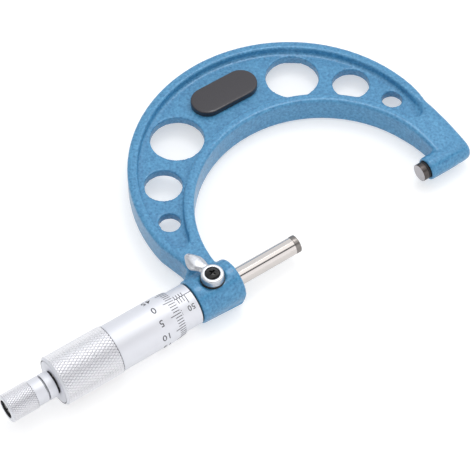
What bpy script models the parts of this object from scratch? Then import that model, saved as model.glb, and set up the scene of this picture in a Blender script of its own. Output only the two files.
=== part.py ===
"""An outside micrometer for 50 to 75 mm, lying on its side.

The origin is the middle of the anvil's measuring face. +X runs along the spindle, from the
thimble to the anvil, +Y is towards the crown of the bow and +Z is up, out of the bow's side.
The spindle is drawn 54 mm from the anvil. Sizes are in millimetres.
"""

import math

import bmesh
import bpy
from mathutils import Matrix, Vector

MM = 0.001

# Scale and travel
READING = 54.0
SCALE_START = 50.0
SCALE_END = 75.0
CLOSING_TRAVEL = READING - SCALE_START

# Clearances and small edges
RUNNING_GAP = 0.15
SEAT_GAP = 0.05
SEAM_GAP = 0.2
FINE_CHAMFER = 0.15
CHAMFER = 0.3
HUB_CHAMFER = 0.6

# How far cutters run past what they cut, and where the middle of a round edge lies from its
# sharp corner, as a share of its radius
PAST = 1.0
ROUND_MIDDLE = 0.3

# Spindle and anvil
SPINDLE_R = 3.25
CARBIDE_LENGTH = 2.0
ANVIL_REACH = 3.0
ANVIL_SEAT = 10.0
THREAD_R = 3.5
THREAD_MARGIN = 0.5
SPINDLE_TAIL_GAP = 0.8

# Hub and anvil boss of the bow
HUB_R = 8.1
HUB_LENGTH = 17.4
HUB_SETBACK = 5.5
HUB_STEP = 3.0
BOSS_R = 4.3
BOSS_STEP = 5.6
EDGE_ROUND = 1.2

# Bow
BOW_HALF_THICKNESS = 5.25
WEB_HALF_THICKNESS = 2.3
BOW_DEPTH = 84.8
BOW_WIDTH_AT_CROWN = 33.05
BOW_WIDTH_AT_SPRING = 12.05
LEG_TAPER = 2.3
FOOT_FLARE = 0.7
LEG_TAPER_FROM_Y = 23.0
LEG_TAPER_TO_Y = 11.0
OUTER_RIM = 3.6
INNER_RIM = 3.75
POCKET_END_R = 3.6
POCKET_FLOOR_ROUND = 0.6
FOOT_HALF_THICKNESS = 3.9
FOOT_TAPER_FROM_Y = 18.5
FOOT_CORNER_R = 3.5
FLARE_R = 2.5
FOOT_END_Y = -1.0
HUB_END_Y = 2.0

# Holes through the web, one of each on both sides: angle above the horizontal, and how far the
# hole's edge stays from the rims
WEB_HOLES = ((53.5, 1.74), (25.3, 1.87), (5.5, 1.71))

# Insulating pads
PAD_LENGTH = 27.0
PAD_WIDTH = 12.3
PAD_RISE = 2.4
PAD_EDGE_ROUND = 0.5
PEG_R = 1.6
PEG_SPACING = 15.0
PEG_LENGTH = 1.9
PEG_STEPS = 12

# Sleeves
SLEEVE_R = 7.6
SLEEVE_WALL = 0.9
FIRST_LINE = 3.2
SLEEVE_TAIL = 2.4
NOSE_R = 5.6
NOSE_LENGTH = 5.2
GUIDE_LENGTH = 3.8
NUT_THREAD_LENGTH = 14.0
COLLET_R = 5.8
COLLET_LENGTH = 4.7
COLLET_SLOT = 0.8
COLLET_SLOT_LENGTH = 9.0
ADJUSTING_NUT_R = 7.3
ADJUSTING_NUT_LENGTH = 3.6
NUT_NOTCH = 1.4
NUT_NOTCH_DEPTH = 0.6
SLOT_CLEAR_OF_AXIS = 2.0

# Thimble
THIMBLE_R = 8.5
THIMBLE_EDGE_R = 7.95
THIMBLE_LENGTH = 48.2
THIMBLE_BEVEL = 4.6
KNURL_R = 8.95
KNURL_LENGTH = 22.5
THIMBLE_END_BEVEL = 1.0
THIMBLE_REAR_ROOM = 3.5
THIMBLE_CORNER = 1.0
TAPER_FRONT_R = 3.9
TAPER_SLOPE = 0.07
TAPER_LEAD = 1.0

# Ratchet stop
RATCHET_TEETH = 24
TOOTH_HEIGHT = 0.4
TOOTH_PLAY_DEG = 0.5
CROWN_R = 3.6
CROWN_BORE_R = 2.3
STUD_R = 1.5
STUD_LENGTH = 7.0
NECK_R = 3.9
NECK_LENGTH = 1.3
COLLAR_R = 4.75
COLLAR_LENGTH = 2.4
CROWN_BASE = 1.1
SPIGOT_R = 1.7
KNOB_GAP = 0.4
KNOB_R = 4.7
KNOB_SMOOTH_LENGTH = 3.8
KNOB_KNURL_R = 5.1
KNOB_LENGTH = 14.2
KNOB_STEP = 0.4
KNOB_WALL = 0.85
KNOB_WEB = 2.0
KNOB_RECESS_R = 3.3
KNOB_RECESS_DEPTH = 3.4
CLUTCH_LENGTH = 2.5
LUG_WIDTH = 1.5
LUG_HEIGHT = 0.45
LUG_LENGTH = 1.3
LUG_INSET = 0.2
SPRING_R = 2.65
SPRING_WIRE_R = 0.3
SPRING_TURNS = 5
SPRING_STEPS = 12
WASHER_R = 2.9
WASHER_THICKNESS = 0.5
END_SCREW_R = 2.3
END_SCREW_HEAD = 1.3
END_SCREW_SHANK_R = 0.9
END_SCREW_LENGTH = 5.0
HOLE_DEEPER = 0.5
SCREW_SLOT = 0.6

# Spindle lock
LOCK_FROM_FRONT = 8.8
SPOT_FACE_Z = 7.1
LEVER_BOSS_R = 4.35
LEVER_BOSS_HEIGHT = 2.9
LEVER_ANGLE = 103.0
LEVER_REACH = 10.5
LEVER_TIP_R = 2.1
LEVER_TIP_START = 12.0
LEVER_ROOT_HALF_WIDTH = 2.9
LEVER_THICKNESS = 2.1
LEVER_LIFT = 0.4
LEVER_ROUND = 0.7
LEVER_CROWN = 0.9
LOCK_WASHER_R = 4.7
LOCK_WASHER_THICKNESS = 0.6
LOCK_STUD_R = 2.3
LOCK_STUD_IN_LEVER = 1.3
STUD_BORE_Z = 1.5
SHOE_Z = 2.0
SHOE_HEIGHT = 1.1
LOCK_SCREW_R = 2.75
LOCK_SCREW_HEAD = 1.1
LOCK_SCREW_SHANK_R = 1.1
LOCK_SCREW_LENGTH = 4.2
LOCK_SCREW_SINK = 0.6
LOCK_SCREW_DOME = 1.1
CROSS_WIDTH = 0.75
CROSS_LENGTH = 3.0
CROSS_DEPTH = 0.65

# Places along the spindle
SPINDLE_FACE_X = -READING
HUB_FRONT_X = -(SCALE_END + HUB_SETBACK)
HUB_REAR_X = HUB_FRONT_X - HUB_LENGTH
FIRST_LINE_X = HUB_REAR_X - FIRST_LINE
THIMBLE_EDGE_X = FIRST_LINE_X - CLOSING_TRAVEL
THIMBLE_REAR_X = THIMBLE_EDGE_X - THIMBLE_LENGTH
SLEEVE_REAR_X = FIRST_LINE_X - (SCALE_END - SCALE_START) - SLEEVE_TAIL
COLLET_REAR_X = SLEEVE_REAR_X - COLLET_LENGTH
NOSE_FRONT_X = HUB_REAR_X + NOSE_LENGTH
GUIDE_REAR_X = NOSE_FRONT_X - GUIDE_LENGTH
THIMBLE_WEB_X = COLLET_REAR_X - CLOSING_TRAVEL - THIMBLE_REAR_ROOM
LOCK_X = HUB_FRONT_X - LOCK_FROM_FRONT

# Legs of the bow: where their inner walls stand, and the middle between them
LEG_NEAR_HUB_X = HUB_FRONT_X - HUB_STEP
LEG_NEAR_ANVIL_X = ANVIL_REACH + BOSS_STEP
BOW_MIDDLE_X = (LEG_NEAR_HUB_X + LEG_NEAR_ANVIL_X) / 2
THROAT_R = (LEG_NEAR_ANVIL_X - LEG_NEAR_HUB_X) / 2
CROWN_R_OUTER = THROAT_R + BOW_WIDTH_AT_SPRING
THROAT_CENTRE_Y = BOW_DEPTH - BOW_WIDTH_AT_CROWN - THROAT_R
CROWN_CENTRE_Y = BOW_DEPTH - CROWN_R_OUTER
POCKET_OUTER_R = CROWN_R_OUTER - OUTER_RIM
POCKET_INNER_R = THROAT_R + INNER_RIM
LEG_END_REACH = CROWN_R_OUTER - LEG_TAPER
FOOT_END_REACH = CROWN_R_OUTER + FOOT_FLARE

# Places of the ratchet stop
NECK_FRONT_X = THIMBLE_REAR_X - SEAT_GAP
COLLAR_FRONT_X = NECK_FRONT_X - NECK_LENGTH
COLLAR_REAR_X = COLLAR_FRONT_X - COLLAR_LENGTH
CROWN_FACE_X = COLLAR_REAR_X - CROWN_BASE
CLUTCH_FACE_X = CROWN_FACE_X - SEAT_GAP * 2
CLUTCH_REAR_X = CLUTCH_FACE_X - CLUTCH_LENGTH
KNOB_FRONT_X = COLLAR_REAR_X - KNOB_GAP
KNOB_REAR_X = KNOB_FRONT_X - KNOB_LENGTH
KNOB_WEB_REAR_X = KNOB_REAR_X + KNOB_RECESS_DEPTH
KNOB_WEB_FRONT_X = KNOB_WEB_REAR_X + KNOB_WEB
KNOB_BORE_R = KNOB_R - KNOB_WALL
SPIGOT_REAR_X = KNOB_WEB_REAR_X - RUNNING_GAP
WASHER_REAR_X = SPIGOT_REAR_X - SEAT_GAP - WASHER_THICKNESS
END_SCREW_FACE_X = WASHER_REAR_X - SEAT_GAP - END_SCREW_HEAD

# Heights of the spindle lock
LOCK_WASHER_Z = SPOT_FACE_Z + SEAT_GAP
LEVER_Z = LOCK_WASHER_Z + LOCK_WASHER_THICKNESS + SEAT_GAP
LEVER_TOP_Z = LEVER_Z + LEVER_BOSS_HEIGHT
LOCK_STUD_TOP_Z = LEVER_Z + LOCK_STUD_IN_LEVER
SHOE_TOP_Z = SPINDLE_R + RUNNING_GAP + SHOE_HEIGHT
LOCK_SEAT_Z = LEVER_TOP_Z - LOCK_SCREW_SINK
LOCK_HEAD_Z = LOCK_SEAT_Z + SEAT_GAP
LOCK_SHANK_Z = LOCK_SEAT_Z - LOCK_SCREW_LENGTH

# Facets round large, middling and small turned shapes
ROUND_STEPS = 48
MEDIUM_STEPS = 32
SMALL_STEPS = 24
CIRCLE = 2 * math.pi

# Colours in linear light
BLUE_PAINT = (0.045, 0.225, 0.445)
SATIN_CHROME = (0.62, 0.63, 0.66)
STEEL = (0.46, 0.44, 0.42)
CARBIDE = (0.09, 0.085, 0.08)
BLACK = (0.012, 0.011, 0.012)
BRASS = (0.55, 0.38, 0.13)


def collection(name):
    """A new collection in the scene."""
    group = bpy.data.collections.new(name)
    bpy.context.scene.collection.children.link(group)
    return group


def material(name, colour, roughness, metallic):
    """A plain material with the piece's colour and shine."""
    surface = bpy.data.materials.new(name)
    surface.use_nodes = True
    shader = surface.node_tree.nodes["Principled BSDF"]
    shader.inputs["Base Color"].default_value = (*colour, 1.0)
    shader.inputs["Roughness"].default_value = roughness
    shader.inputs["Metallic"].default_value = metallic
    return surface


def place(name, mesh, surface=None):
    """Make an object of a mesh: a piece when it has a material, otherwise a cutter."""
    made = bpy.data.objects.new(name, mesh)
    if surface:
        made.data.materials.append(surface)
        PIECES.objects.link(made)
    else:
        made.hide_render = True
        made.display_type = "WIRE"
        CUTTERS.objects.link(made)
    return made


def turned(name, profile, surface=None, steps=ROUND_STEPS, upright_at=None):
    """Turn a profile of (place along the axis, radius) pairs.

    The axis is the spindle's, or an upright one through upright_at = (x, y). A profile whose
    ends lie on the axis makes a solid, and any other profile is closed and makes a ring.
    """
    area = sum(a[0] * b[1] - b[0] * a[1] for a, b in zip(profile, profile[1:] + profile[:1]))
    points = profile if area > 0 else profile[::-1]
    mesh = bpy.data.meshes.new(name)
    edges = [(i, i + 1) for i in range(len(points) - 1)]
    if points[0][1] > 0:
        edges.append((len(points) - 1, 0))
    mesh.from_pydata([(r * MM, 0, along * MM) for along, r in points], edges, [])
    made = place(name, mesh, surface)
    if upright_at is None:
        made.rotation_euler.y = math.pi / 2
    else:
        made.location = (upright_at[0] * MM, upright_at[1] * MM, 0)
    screw = made.modifiers.new("turn", "SCREW")
    screw.axis = "Z"
    screw.steps = steps
    screw.render_steps = steps
    screw.use_merge_vertices = True
    screw.merge_threshold = 1e-6
    screw.use_smooth_shade = True
    return made


def rod(name, start, end, radius, steps=SMALL_STEPS, upright_at=None):
    """A plain round cutter or peg between two places along its axis."""
    profile = [(end, 0), (end, radius), (start, radius), (start, 0)]
    return turned(name, profile, steps=steps, upright_at=upright_at)


def box(name, centre, size, turn=None):
    """A box cutter, turned by a matrix about the origin once it is in place."""
    shape = bmesh.new()
    bmesh.ops.create_cube(shape, size=1)
    bmesh.ops.scale(shape, vec=Vector(size) * MM, verts=shape.verts)
    bmesh.ops.translate(shape, vec=Vector(centre) * MM, verts=shape.verts)
    if turn:
        bmesh.ops.transform(shape, matrix=turn, verts=shape.verts)
    mesh = bpy.data.meshes.new(name)
    shape.to_mesh(mesh)
    shape.free()
    return place(name, mesh)


def slab(name, outline, low, high, surface=None):
    """A flat outline of (x, y) points, filled between two heights."""
    curve = bpy.data.curves.new(name, "CURVE")
    curve.dimensions = "2D"
    curve.fill_mode = "BOTH"
    curve.extrude = (high - low) / 2 * MM
    spline = curve.splines.new("POLY")
    spline.points.add(len(outline) - 1)
    for point, (x, y) in zip(spline.points, outline):
        point.co = (x * MM, y * MM, 0, 1)
    spline.use_cyclic_u = True
    drawn = bpy.data.objects.new(name, curve)
    CUTTERS.objects.link(drawn)
    drawn.location.z = (low + high) / 2 * MM
    view = bpy.context.evaluated_depsgraph_get()
    mesh = bpy.data.meshes.new_from_object(drawn.evaluated_get(view))
    mesh.transform(Matrix.Translation(drawn.location))
    bpy.data.objects.remove(drawn)
    shape = bmesh.new()
    shape.from_mesh(mesh)
    bmesh.ops.remove_doubles(shape, verts=shape.verts, dist=1e-6)
    bmesh.ops.dissolve_limit(
        shape, angle_limit=0.001, verts=shape.verts, edges=shape.edges
    )
    bmesh.ops.recalc_face_normals(shape, faces=shape.faces)
    shape.to_mesh(mesh)
    shape.free()
    return place(name, mesh, surface)


def rounded(target, width, segments=2):
    """Round the sharp edges of a flat piece."""
    bevel = target.modifiers.new("round", "BEVEL")
    bevel.width = width * MM
    bevel.segments = segments
    bevel.limit_method = "ANGLE"
    bevel.angle_limit = math.radians(40)


def boolean(target, tool, operation="DIFFERENCE"):
    """Cut a piece with a tool, or join the tool to it."""
    step = target.modifiers.new(tool.name, "BOOLEAN")
    step.operation = operation
    step.solver = "EXACT"
    step.object = tool


def arc(centre, radius, start, end, steps):
    """Points on an arc, with its angles in degrees."""
    points = []
    for i in range(steps + 1):
        angle = math.radians(start + (end - start) * i / steps)
        points.append(
            (centre[0] + radius * math.cos(angle), centre[1] + radius * math.sin(angle))
        )
    return points


def toothed_ring(name, face, back, outer, bore, turn, surface=None):
    """A ring whose face carries saw teeth: ramps that end in steep steps.

    Going round the way that closes the spindle, each ramp leads from face to TOOTH_HEIGHT
    behind it. All the teeth are turned that way by turn degrees.
    """
    shape = bmesh.new()
    pitch = CIRCLE / RATCHET_TEETH

    def point(tooth, radius, along):
        angle = math.radians(turn) + tooth * pitch
        across = -radius * math.cos(angle)
        up = -radius * math.sin(angle)
        return shape.verts.new((along * MM, across * MM, up * MM))

    stations = []
    for tooth in range(RATCHET_TEETH):
        stations.append(
            {
                "root": [point(tooth, r, face) for r in (bore, outer)],
                "crest": [point(tooth, r, face - TOOTH_HEIGHT) for r in (bore, outer)],
                "back": [point(tooth, r, back) for r in (bore, outer)],
            }
        )
    for tooth, here in enumerate(stations):
        after = stations[(tooth + 1) % RATCHET_TEETH]
        shape.faces.new(here["root"] + after["crest"][::-1])
        shape.faces.new(after["crest"] + after["root"][::-1])
        shape.faces.new(here["back"] + after["back"][::-1])
        if face < back:
            wall = [here["back"], after["back"], after["root"], after["crest"], here["root"]]
        else:
            wall = [here["back"], after["back"], after["crest"], here["root"], here["crest"]]
        for side in (0, 1):
            shape.faces.new([corner[side] for corner in wall])
    bmesh.ops.recalc_face_normals(shape, faces=shape.faces)
    mesh = bpy.data.meshes.new(name)
    shape.to_mesh(mesh)
    shape.free()
    return place(name, mesh, surface)


def bow_outline():
    """The bow seen from the side, from the anvil's leg over the crown to the hub's leg."""
    middle = BOW_MIDDLE_X
    end = LEG_END_REACH
    foot = FOOT_END_REACH
    spring = math.degrees(math.asin((LEG_TAPER_FROM_Y - CROWN_CENTRE_Y) / CROWN_R_OUTER))
    corner = (middle + foot - FOOT_CORNER_R, FOOT_END_Y + FOOT_CORNER_R)
    outline = arc(corner, FOOT_CORNER_R, -90, 0, 4)
    outline.append((middle + foot, LEG_TAPER_TO_Y))
    outline += arc((middle, CROWN_CENTRE_Y), CROWN_R_OUTER, spring, 180 - spring, 46)
    outline.append((middle - end, LEG_TAPER_TO_Y + FLARE_R))
    flare_y = HUB_R + FLARE_R + SEAM_GAP
    outline += arc((middle - end - FLARE_R, flare_y), FLARE_R, 0, -90, 4)
    outline.append((middle - end - FLARE_R, HUB_END_Y))
    outline.append((middle - THROAT_R, HUB_END_Y))
    outline += arc((middle, THROAT_CENTRE_Y), THROAT_R, 180, 0, 36)
    outline.append((middle + THROAT_R, FOOT_END_Y))
    return outline


def pocket_outline():
    """The recess between the two rims: a crescent with round ends.

    Each end touches the inner wall, and the outer wall or the straight line below it. In a bow
    so narrow that the ends lie above the crown's centre, they touch the outer wall itself.
    """
    middle = BOW_MIDDLE_X
    end_x = POCKET_OUTER_R - POCKET_END_R
    end_reach = POCKET_INNER_R + POCKET_END_R
    end_y = THROAT_CENTRE_Y + math.sqrt(end_reach**2 - end_x**2)
    if end_y > CROWN_CENTRE_Y:
        drop = CROWN_CENTRE_Y - THROAT_CENTRE_Y
        end_y = CROWN_CENTRE_Y + (end_reach**2 - end_x**2 - drop**2) / (2 * drop)
        end_x = math.sqrt(end_x**2 - (end_y - CROWN_CENTRE_Y) ** 2)
    outer = max(math.degrees(math.atan2(end_y - CROWN_CENTRE_Y, end_x)), 0)
    touch = math.degrees(math.atan2(end_y - THROAT_CENTRE_Y, end_x))
    outline = arc((middle, CROWN_CENTRE_Y), POCKET_OUTER_R, outer, 180 - outer, 40)
    outline += arc((middle - end_x, end_y), POCKET_END_R, 180 - outer, 360 - touch, 6)
    outline += arc((middle, THROAT_CENTRE_Y), POCKET_INNER_R, 180 - touch, touch, 32)[1:-1]
    outline += arc((middle + end_x, end_y), POCKET_END_R, 180 + touch, 360 + outer, 6)
    return outline


def web_middle(angle):
    """Distance from the crown's centre to the middle of the web, in a direction in degrees."""
    drop = CROWN_CENTRE_Y - THROAT_CENTRE_Y
    across = drop * math.cos(math.radians(angle))
    inner = math.sqrt(POCKET_INNER_R**2 - across**2) - drop * math.sin(math.radians(angle))
    return (inner + POCKET_OUTER_R) / 2


def web_half_width(angle):
    """Half the width of the web between its rims, in the same direction."""
    return POCKET_OUTER_R - web_middle(angle)


def taper_foot(bow):
    """Thin the anvil's leg evenly towards its boss."""
    shape = bmesh.new()
    shape.from_mesh(bow.data)
    start = Vector((0, FOOT_TAPER_FROM_Y * MM, 0))
    everything = shape.verts[:] + shape.edges[:] + shape.faces[:]
    bmesh.ops.bisect_plane(shape, geom=everything, plane_co=start, plane_no=(0, 1, 0))
    lowest = min(vert.co.y for vert in shape.verts)
    for vert in shape.verts:
        if vert.co.x > BOW_MIDDLE_X * MM and vert.co.y < start.y:
            share = (start.y - vert.co.y) / (start.y - lowest)
            thin = 1 - share * (1 - FOOT_HALF_THICKNESS / BOW_HALF_THICKNESS)
            vert.co.z *= thin
    shape.to_mesh(bow.data)
    shape.free()


def build_frame(paint):
    """The cast bow: rims round a thin web with six holes, a hub and an anvil boss."""
    half = BOW_HALF_THICKNESS
    web = WEB_HALF_THICKNESS
    frame = slab("frame", bow_outline(), -half, half, paint)
    taper_foot(frame)
    rounded(frame, EDGE_ROUND)
    pockets = (("pocket_top", web, half + PAST), ("pocket_bottom", -half - PAST, -web))
    for name, low, high in pockets:
        pocket = slab(name, pocket_outline(), low, high)
        rounded(pocket, POCKET_FLOOR_ROUND)
        boolean(frame, pocket)
    for angle, clearance in WEB_HOLES:
        radius = web_half_width(angle) - clearance
        for side in (1, -1):
            reach = web_middle(angle)
            x = BOW_MIDDLE_X + side * reach * math.cos(math.radians(angle))
            y = CROWN_CENTRE_Y + reach * math.sin(math.radians(angle))
            name = "hole_%s_%d" % ("right" if side > 0 else "left", round(radius))
            boolean(frame, rod(name, -half, half, radius, MEDIUM_STEPS, (x, y)))
    pad_y = CROWN_CENTRE_Y + web_middle(90)
    for side in (1, -1):
        x = BOW_MIDDLE_X + side * PEG_SPACING / 2
        hole = rod("peg_hole_%d" % side, -half, half, PEG_R + RUNNING_GAP, PEG_STEPS, (x, pad_y))
        boolean(frame, hole)

    boss_rear = BOW_MIDDLE_X + FOOT_END_REACH - SEAM_GAP
    boss = turned(
        "anvil_boss",
        [
            (boss_rear, 0),
            (boss_rear, BOSS_R - EDGE_ROUND),
            (boss_rear - EDGE_ROUND * ROUND_MIDDLE, BOSS_R - EDGE_ROUND * ROUND_MIDDLE),
            (boss_rear - EDGE_ROUND, BOSS_R),
            (ANVIL_REACH + CHAMFER, BOSS_R),
            (ANVIL_REACH, BOSS_R - CHAMFER),
            (ANVIL_REACH, 0),
        ],
        steps=MEDIUM_STEPS,
    )
    hub = turned(
        "hub",
        [
            (HUB_FRONT_X, 0),
            (HUB_FRONT_X, HUB_R - HUB_CHAMFER),
            (HUB_FRONT_X - HUB_CHAMFER, HUB_R),
            (HUB_REAR_X + CHAMFER, HUB_R),
            (HUB_REAR_X, HUB_R - CHAMFER),
            (HUB_REAR_X, 0),
        ],
    )
    boolean(frame, boss, "UNION")
    boolean(frame, hub, "UNION")

    anvil_end = ANVIL_REACH + ANVIL_SEAT
    boolean(frame, rod("anvil_bore", ANVIL_REACH - PAST, anvil_end, SPINDLE_R + SEAT_GAP))
    bore = turned(
        "hub_bore",
        [
            (HUB_FRONT_X + PAST, 0),
            (HUB_FRONT_X + PAST, SPINDLE_R + RUNNING_GAP),
            (NOSE_FRONT_X + SEAT_GAP, SPINDLE_R + RUNNING_GAP),
            (NOSE_FRONT_X + SEAT_GAP, NOSE_R + SEAT_GAP),
            (HUB_REAR_X - PAST, NOSE_R + SEAT_GAP),
            (HUB_REAR_X - PAST, 0),
        ],
    )
    boolean(frame, bore)
    above = HUB_R + PAST
    at = (LOCK_X, 0)
    spot_r = LOCK_WASHER_R + RUNNING_GAP
    boolean(frame, rod("spot_face", SPOT_FACE_Z, above, spot_r, MEDIUM_STEPS, at))
    bore_r = LOCK_STUD_R + RUNNING_GAP
    boolean(frame, rod("stud_bore", STUD_BORE_Z, above, bore_r, SMALL_STEPS, at))
    return frame


def build_anvil(steel, carbide):
    """The fixed anvil, pressed into its boss, with a carbide face."""
    bevel = FINE_CHAMFER
    turned(
        "anvil_tip",
        [
            (CARBIDE_LENGTH, 0),
            (CARBIDE_LENGTH, SPINDLE_R),
            (bevel, SPINDLE_R),
            (0, SPINDLE_R - bevel),
            (0, 0),
        ],
        carbide,
        MEDIUM_STEPS,
    )
    front = CARBIDE_LENGTH + SEAT_GAP
    rear = ANVIL_REACH + ANVIL_SEAT - SEAT_GAP
    turned(
        "anvil",
        [
            (rear, 0),
            (rear, SPINDLE_R - bevel),
            (rear - bevel, SPINDLE_R),
            (front, SPINDLE_R),
            (front, 0),
        ],
        steel,
        MEDIUM_STEPS,
    )


def build_pads(black):
    """Two insulating pads that keep a hand's warmth from the bow, held by pegs in the web."""
    pad_y = CROWN_CENTRE_Y + web_middle(90)
    end_r = PAD_WIDTH / 2
    reach = PAD_LENGTH / 2 - end_r
    right = arc((BOW_MIDDLE_X + reach, pad_y), end_r, -90, 90, 10)
    left = arc((BOW_MIDDLE_X - reach, pad_y), end_r, 90, 270, 10)
    seat = WEB_HALF_THICKNESS + SEAT_GAP
    for name, side in (("pad_top", 1), ("pad_bottom", -1)):
        low, high = sorted((side * seat, side * (WEB_HALF_THICKNESS + PAD_RISE)))
        pad = slab(name, right + left, low, high, black)
        rounded(pad, PAD_EDGE_ROUND)
        for place_x in (-PEG_SPACING / 2, PEG_SPACING / 2):
            start, end = sorted((side * (WEB_HALF_THICKNESS - PEG_LENGTH), side * (seat + PAST)))
            at = (BOW_MIDDLE_X + place_x, pad_y)
            peg = rod("%s_peg_%d" % (name, place_x), start, end, PEG_R, PEG_STEPS, at)
            boolean(pad, peg, "UNION")


def build_sleeves(steel, chrome):
    """The threaded inner sleeve with its split end and nut, and the sleeve with the scale."""
    body_r = SLEEVE_R - SLEEVE_WALL - RUNNING_GAP
    nut_start = COLLET_REAR_X + NUT_THREAD_LENGTH
    inner = turned(
        "inner_sleeve",
        [
            (NOSE_FRONT_X, NOSE_R),
            (HUB_REAR_X - SEAM_GAP, NOSE_R),
            (HUB_REAR_X - SEAM_GAP, body_r),
            (SLEEVE_REAR_X, body_r),
            (SLEEVE_REAR_X, COLLET_R),
            (COLLET_REAR_X + CHAMFER, COLLET_R),
            (COLLET_REAR_X, COLLET_R - CHAMFER),
            (COLLET_REAR_X, THREAD_R + RUNNING_GAP),
            (nut_start, THREAD_R + RUNNING_GAP),
            (nut_start, THREAD_R + RUNNING_GAP * 2),
            (GUIDE_REAR_X, THREAD_R + RUNNING_GAP * 2),
            (GUIDE_REAR_X, SPINDLE_R + RUNNING_GAP),
            (NOSE_FRONT_X, SPINDLE_R + RUNNING_GAP),
        ],
        steel,
        MEDIUM_STEPS,
    )
    slot_length = COLLET_SLOT_LENGTH + PAST
    size = (slot_length, COLLET_SLOT, COLLET_R)
    middle = (COLLET_REAR_X - PAST + slot_length / 2, 0, SLOT_CLEAR_OF_AXIS + COLLET_R / 2)
    for third in range(3):
        turn = Matrix.Rotation(third * CIRCLE / 3, 4, "X")
        boolean(inner, box("collet_slot_%d" % third, middle, size, turn))

    nut_front = SLEEVE_REAR_X - SEAM_GAP
    nut_rear = nut_front - ADJUSTING_NUT_LENGTH
    nut = turned(
        "adjusting_nut",
        [
            (nut_front, ADJUSTING_NUT_R),
            (nut_rear + CHAMFER, ADJUSTING_NUT_R),
            (nut_rear, ADJUSTING_NUT_R - CHAMFER),
            (nut_rear, COLLET_R + RUNNING_GAP),
            (nut_front, COLLET_R + RUNNING_GAP),
        ],
        steel,
        MEDIUM_STEPS,
    )
    for quarter in range(4):
        turn = Matrix.Rotation(quarter * CIRCLE / 4, 4, "X")
        middle = (nut_rear, 0, ADJUSTING_NUT_R)
        size = (NUT_NOTCH * 2, NUT_NOTCH, NUT_NOTCH_DEPTH * 2)
        boolean(nut, box("nut_notch_%d" % quarter, middle, size, turn))

    front = HUB_REAR_X - SEAM_GAP
    turned(
        "graduated_sleeve",
        [
            (front, SLEEVE_R - FINE_CHAMFER),
            (front - FINE_CHAMFER, SLEEVE_R),
            (SLEEVE_REAR_X, SLEEVE_R),
            (SLEEVE_REAR_X, SLEEVE_R - SLEEVE_WALL),
            (front, SLEEVE_R - SLEEVE_WALL),
        ],
        chrome,
    )


def taper_r(x):
    """Radius of the spindle's mounting taper at a place along it."""
    return TAPER_FRONT_R - TAPER_SLOPE * (THIMBLE_WEB_X + TAPER_LEAD - x)


def build_spindle(steel, carbide):
    """The spindle: carbide face, ground rod, screw thread and the taper for the thimble."""
    bevel = FINE_CHAMFER
    joint = SPINDLE_FACE_X - CARBIDE_LENGTH
    tip = turned(
        "spindle_tip",
        [
            (SPINDLE_FACE_X, 0),
            (SPINDLE_FACE_X, SPINDLE_R - bevel),
            (SPINDLE_FACE_X - bevel, SPINDLE_R),
            (joint, SPINDLE_R),
            (joint, 0),
        ],
        carbide,
        MEDIUM_STEPS,
    )
    thread_front = GUIDE_REAR_X - CLOSING_TRAVEL - THREAD_MARGIN
    thread_rear = COLLET_REAR_X - CLOSING_TRAVEL - THREAD_MARGIN
    relief = THREAD_R - SPINDLE_R
    taper_front = THIMBLE_WEB_X + TAPER_LEAD
    rear = THIMBLE_REAR_X + SPINDLE_TAIL_GAP
    hole_end = NECK_FRONT_X + STUD_LENGTH + HOLE_DEEPER
    spindle = turned(
        "spindle",
        [
            (joint - SEAT_GAP, 0),
            (joint - SEAT_GAP, SPINDLE_R),
            (thread_front + relief, SPINDLE_R),
            (thread_front, THREAD_R),
            (thread_rear, THREAD_R),
            (thread_rear - relief, SPINDLE_R),
            (taper_front + CHAMFER, SPINDLE_R),
            (taper_front, TAPER_FRONT_R),
            (rear, taper_r(rear)),
            (rear, STUD_R + SEAT_GAP * 2),
            (hole_end, STUD_R + SEAT_GAP * 2),
            (hole_end, 0),
        ],
        steel,
        MEDIUM_STEPS,
    )
    return tip, spindle


def build_thimble(chrome):
    """The thimble: a thin bevelled edge, a plain barrel and a thicker grip, all one piece."""
    edge = THIMBLE_EDGE_X
    rear = THIMBLE_REAR_X
    bore = SLEEVE_R + RUNNING_GAP
    corner = THIMBLE_CORNER
    grip = rear + KNURL_LENGTH
    end_r = KNURL_R - THIMBLE_END_BEVEL
    fit = RUNNING_GAP
    return turned(
        "thimble",
        [
            (edge, THIMBLE_EDGE_R),
            (edge - THIMBLE_BEVEL, THIMBLE_R),
            (grip + CHAMFER, THIMBLE_R),
            (grip, KNURL_R),
            (rear + THIMBLE_END_BEVEL, KNURL_R),
            (rear + THIMBLE_END_BEVEL * 0.25, KNURL_R - THIMBLE_END_BEVEL * 0.4),
            (rear, end_r),
            (rear, taper_r(rear) + fit),
            (THIMBLE_WEB_X, taper_r(THIMBLE_WEB_X) + fit),
            (THIMBLE_WEB_X, bore - corner),
            (THIMBLE_WEB_X + corner, bore),
            (edge, bore),
        ],
        chrome,
    )


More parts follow.
